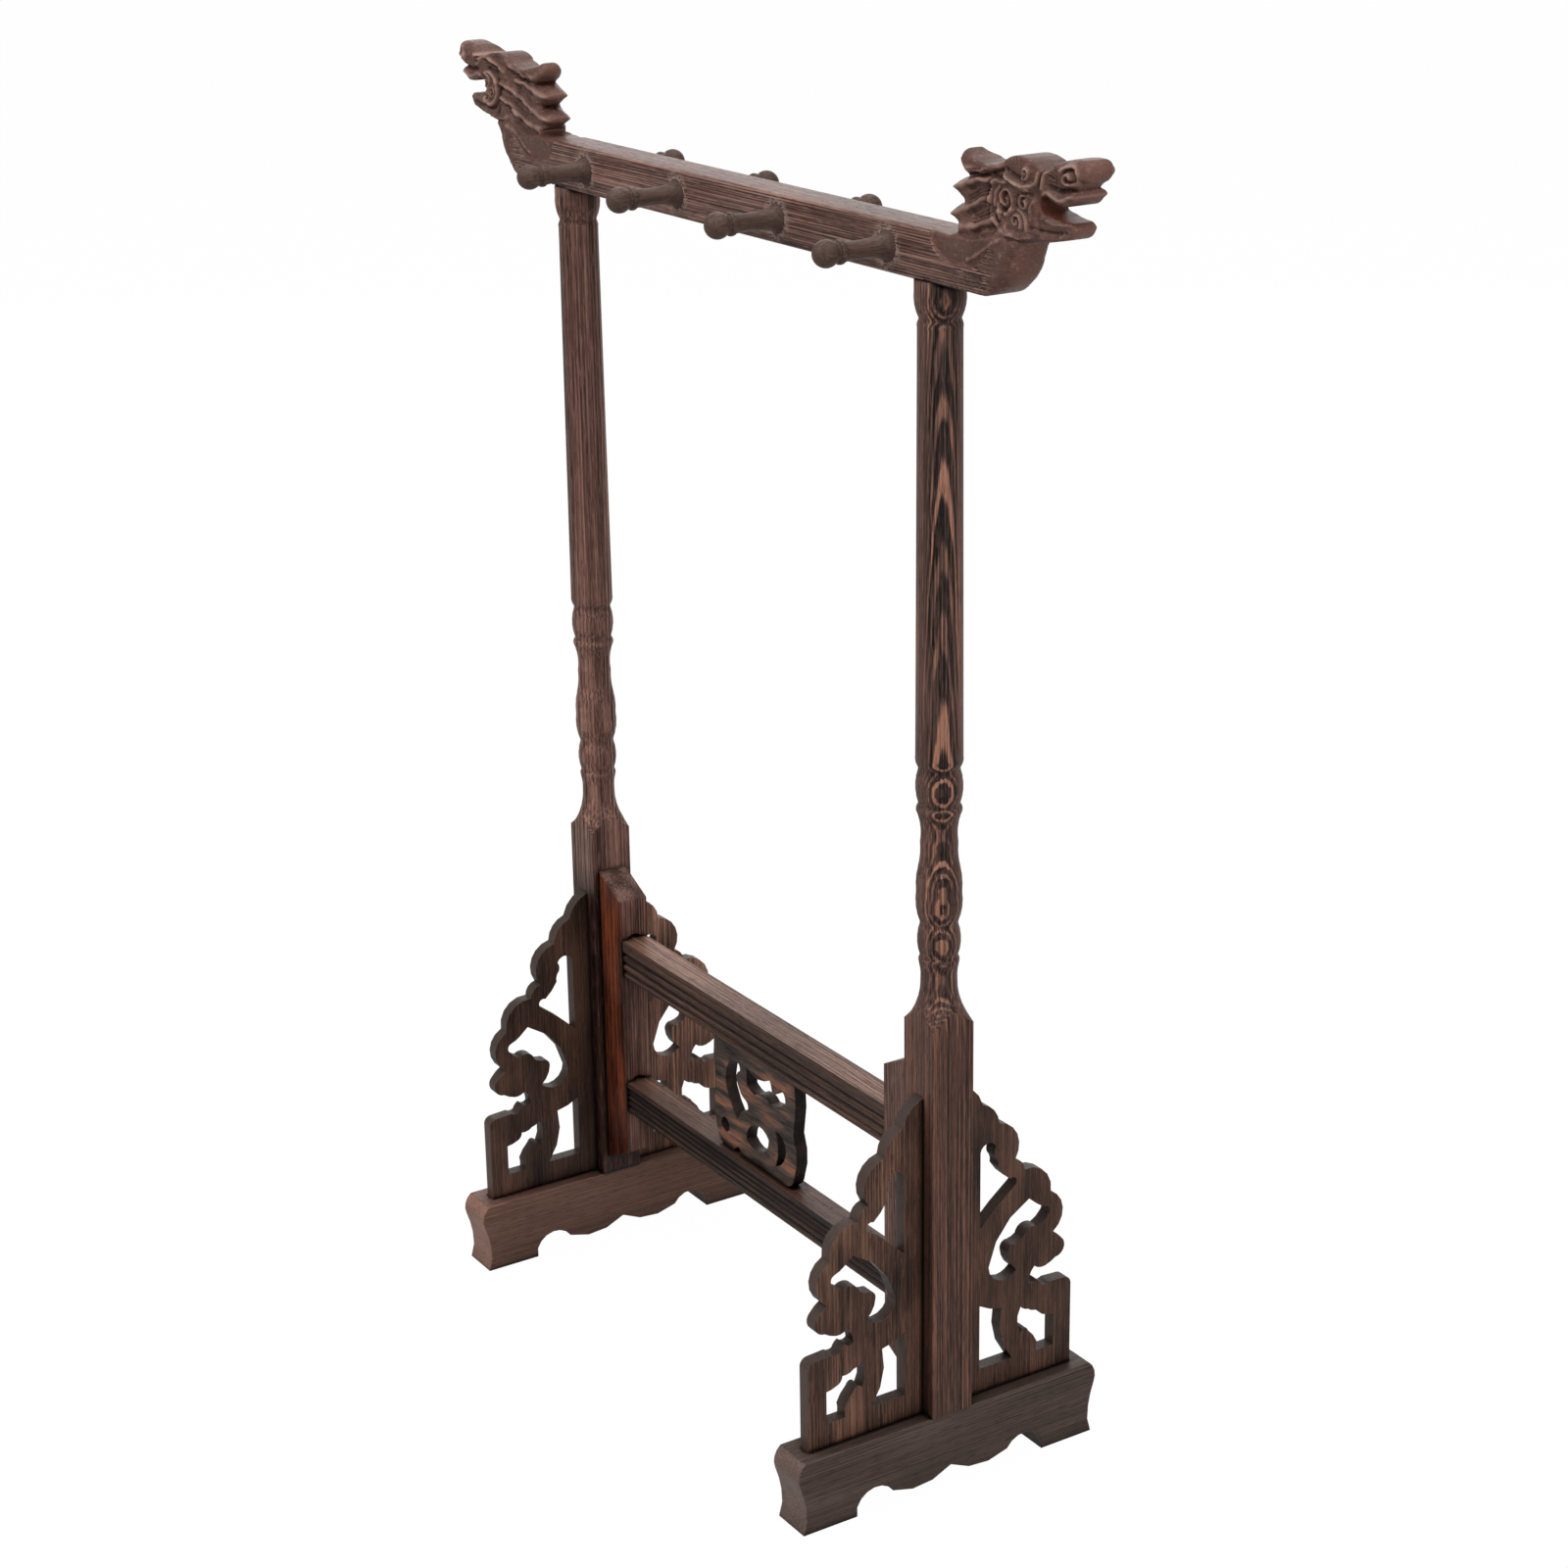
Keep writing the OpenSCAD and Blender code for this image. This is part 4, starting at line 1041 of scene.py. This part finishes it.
# The faces of the beam that don't look along Y, its top among them, get a darker copy of the wood: painted
# shade
beam_wood = wood(
    "beam wood", "X", (-330, 10), BROWN, side_tones_and_light=toned(ROSE, 0.76), ring=0.75, late=0.35, ragged=0.4,
    sway_width=0.6, figure=0.4, calm=((0.55, 1.0), (0.9, 0.5)), lines=1.2, line_gap=0.45, dashes=0.3,
    patches=0.4, ends=1.65, reach=3, wear_and_highlight=0.45, carved=True,
)
carved_beam("top_beam", beam_wood)

# Both posts are darker below a height: painted shade on their lower parts
left_post_wood = wood(
    "left post wood", "Z", (-73, 42), ROSE, ring=1.2, late=0.4, figure=0.75, lines=1.0, line_gap=0.45,
    patches=1.3, patch_size=(4, 150), low_shade=(138, srgb(132, 116, 112)), reach=40,
)
right_post_wood = wood(
    "right post wood", "Z", (55, 23), FLAME, ring=0.75, ragged=0.3, tilt=(-0.0175, -0.027), figure=1.0,
    calm=((0.72, 0.12), (0.97, 1.0)), calm_below=158, lines=0.85, dashes=0.3,
    low_shade=(158, srgb(222, 216, 212)), reach=14,
)
eased("left_post", left_post_wood, width=0.5, angle=60, upright_only=True)
eased("right_post", right_post_wood, width=0.5, angle=60, upright_only=True)

# The feet's lighter ends are painted light
for name, pith, tones, ends in (("left", (-70, -60), EARTH, 1.75), ("right", (80, -40), ASH, 1.95)):
    foot_wood = wood(
        name + " foot wood", "Y", pith, tones, figure=0.3, dashes=0.15, ends=ends, reach=12, wear_and_highlight=0.5)
    eased(name + "_foot", foot_wood, width=0.5)

# The spandrels are one wood, each lighter or darker by its own factor: painted light and shade
for name, pith, factor in (("left_front", (-130, 40), 0.95), ("left_back", (-130, 40), 2.7),
                           ("right_front", (70, -40), 1.45), ("right_back", (70, -40), 1.15)):
    board = wood(
        name + " spandrel wood", "Z", pith, toned(DEEP, factor), figure=0.3, lines=0.75, line_gap=0.4,
        dashes=0.25, patches=1.6, patch_size=(16, 40), reach=16, plate="X",
    )
    eased(name + "_spandrel", board, width=0.3)

left_stile_wood = wood(
    "red stile wood", "Z", (-120, 40), RED, side_tones_and_light=toned(BROWN, 0.95), lines=0.9, patches=1.6,
    patch_size=(6, 30), ends=0.6,
)
right_stile_wood = wood("right stile wood", "Z", (60, 40), BROWN, figure=0.4, ends=0.6)
eased("left_stile", left_stile_wood, width=0.5)
eased("right_stile", right_stile_wood, width=0.5)

# Each rail's front and top are one wood at two brightnesses: the lighter top is painted light, and the darker
# front of the lower rail is painted shade
for name, front, top in (("upper", 0.9, 2.2), ("lower", 0.45, 1.5)):
    rail_wood = wood(
        name + " rail wood", "X", (-60, 36), toned(DEEP, front), side_tones_and_light=toned(DEEP, top), lines=0.8,
        wear_and_highlight=0.8, pale_edge_width=0.8,
    )
    eased(name + "_rail", rail_wood, width=0.2, angle=30)

panel_wood = wood(
    "panel wood", "X", (-40, 16), STREAK, ring=2.6, tilt=(0.0, 0.05), figure=0.2, patches=2.4,
    patch_size=(3.5, 16), reach=12, plate="Y", edge_brightness=0.4,
)
eased("fret_panel", panel_wood, width=0.3)

peg_wood = wood("peg wood", "Y", (10, -360), SMOKE, figure=0.15, lines=0.35, dashes=0.15)
for number in range(1, 5):
    turned_peg(f"front_peg_{number}", peg_wood, -1)
    turned_peg(f"back_peg_{number}", peg_wood, 1)


# Studio

WHITE = (1.0, 1.0, 1.0, 1.0)
PAPER = (0.3, 0.29, 0.28, 1.0)
# Strength of the white in place of the lit floor, its share to the camera, and to gloss of that
PAPER_GLOW = 1.03
SEEN_WHITE = 0.96
GLOSS_WHITE = 0.5
SKY = (1.0, 0.98, 0.96, 1.0)
SENSOR_WIDTH = 36


def floor(size):
    """Pale floor that reads as white paper to the camera."""
    mesh = bpy.data.meshes.new("floor")
    corners = [(-size, -size, 0), (size, -size, 0), (size, size, 0), (-size, size, 0)]
    mesh.from_pydata(corners, [], [(0, 1, 2, 3)])
    plane = bpy.data.objects.new("floor", mesh)
    bpy.context.scene.collection.objects.link(plane)
    material = bpy.data.materials.new("floor paper")
    t = Tree(material)
    paper = t.add("ShaderNodeBsdfDiffuse", {"Color": PAPER}).outputs["BSDF"]
    white = t.add("ShaderNodeEmission", {"Color": WHITE, "Strength": PAPER_GLOW}).outputs["Emission"]
    path = t.add("ShaderNodeLightPath")
    gloss = t.math("MULTIPLY", path.outputs["Is Glossy Ray"], GLOSS_WHITE)
    seen = t.math("MAXIMUM", path.outputs["Is Camera Ray"], gloss)
    mixed = t.add("ShaderNodeMixShader", {0: t.math("MULTIPLY", seen, SEEN_WHITE), 1: paper, 2: white})
    t.add("ShaderNodeOutputMaterial", {"Surface": mixed.outputs["Shader"]})
    mesh.materials.append(material)


def sky(strength):
    """Soft light from all round; the camera sees plain white."""
    world = bpy.data.worlds.new("studio")
    bpy.context.scene.world = world
    t = Tree(world)
    light = t.add("ShaderNodeBackground", {"Color": SKY, "Strength": strength})
    white = t.add("ShaderNodeBackground", {"Color": WHITE, "Strength": 1.0})
    seen = t.add("ShaderNodeLightPath").outputs["Is Camera Ray"]
    mixed = t.add("ShaderNodeMixShader", {0: seen, 1: light.outputs[0], 2: white.outputs[0]})
    t.add("ShaderNodeOutputWorld", {"Surface": mixed.outputs["Shader"]})


def softbox(name, place, aim, size, power):
    """Square area light at a place in metres, turned towards aim."""
    light = bpy.data.lights.new(name, "AREA")
    light.shape = "SQUARE"
    light.size = size
    light.energy = power
    lamp = bpy.data.objects.new(name, light)
    lamp.location = place
    lamp.rotation_euler = (Vector(aim) - Vector(place)).to_track_quat("-Z", "Y").to_euler()
    bpy.context.scene.collection.objects.link(lamp)


def camera(azimuth, elevation, roll, distance, target, lens):
    """Camera that looks at the target; azimuth 0 looks along +Y."""
    a, e, r = (math.radians(v) for v in (azimuth, elevation, roll))
    back = Vector((math.sin(a) * math.cos(e), -math.cos(a) * math.cos(e), math.sin(e)))
    level = Vector((0, 0, 1)).cross(back).normalized()
    above = back.cross(level)
    right = math.cos(r) * level + math.sin(r) * above
    up = math.cos(r) * above - math.sin(r) * level
    data = bpy.data.cameras.new("photo camera")
    data.lens = lens
    data.sensor_width = SENSOR_WIDTH
    data.clip_start, data.clip_end = 0.05, 50
    eye = bpy.data.objects.new("photo camera", data)
    turn = Matrix((right, up, back)).transposed().to_4x4()
    eye.matrix_world = Matrix.Translation(Vector(target) + back * distance) @ turn
    bpy.context.scene.collection.objects.link(eye)
    bpy.context.scene.camera = eye


floor(size=12.0)
sky(strength=0.34)
middle = (0.0, 0.0, 0.2)
softbox("key", (-0.5, -1.5, 1.5), middle, size=1.2, power=20)
softbox("side", (1.7, -0.3, 0.9), middle, size=1.2, power=15)
softbox("top", (0.0, 0.1, 1.9), middle, size=1.5, power=20)
softbox("far card", (-1.3, 0.9, 0.75), middle, size=1.3, power=8)
camera(
    azimuth=57.51, elevation=19.6, roll=-0.88, distance=0.98307, target=(0.01766, 0.0, 0.20133), lens=73.32)
bpy.context.scene.view_settings.view_transform = "Standard"
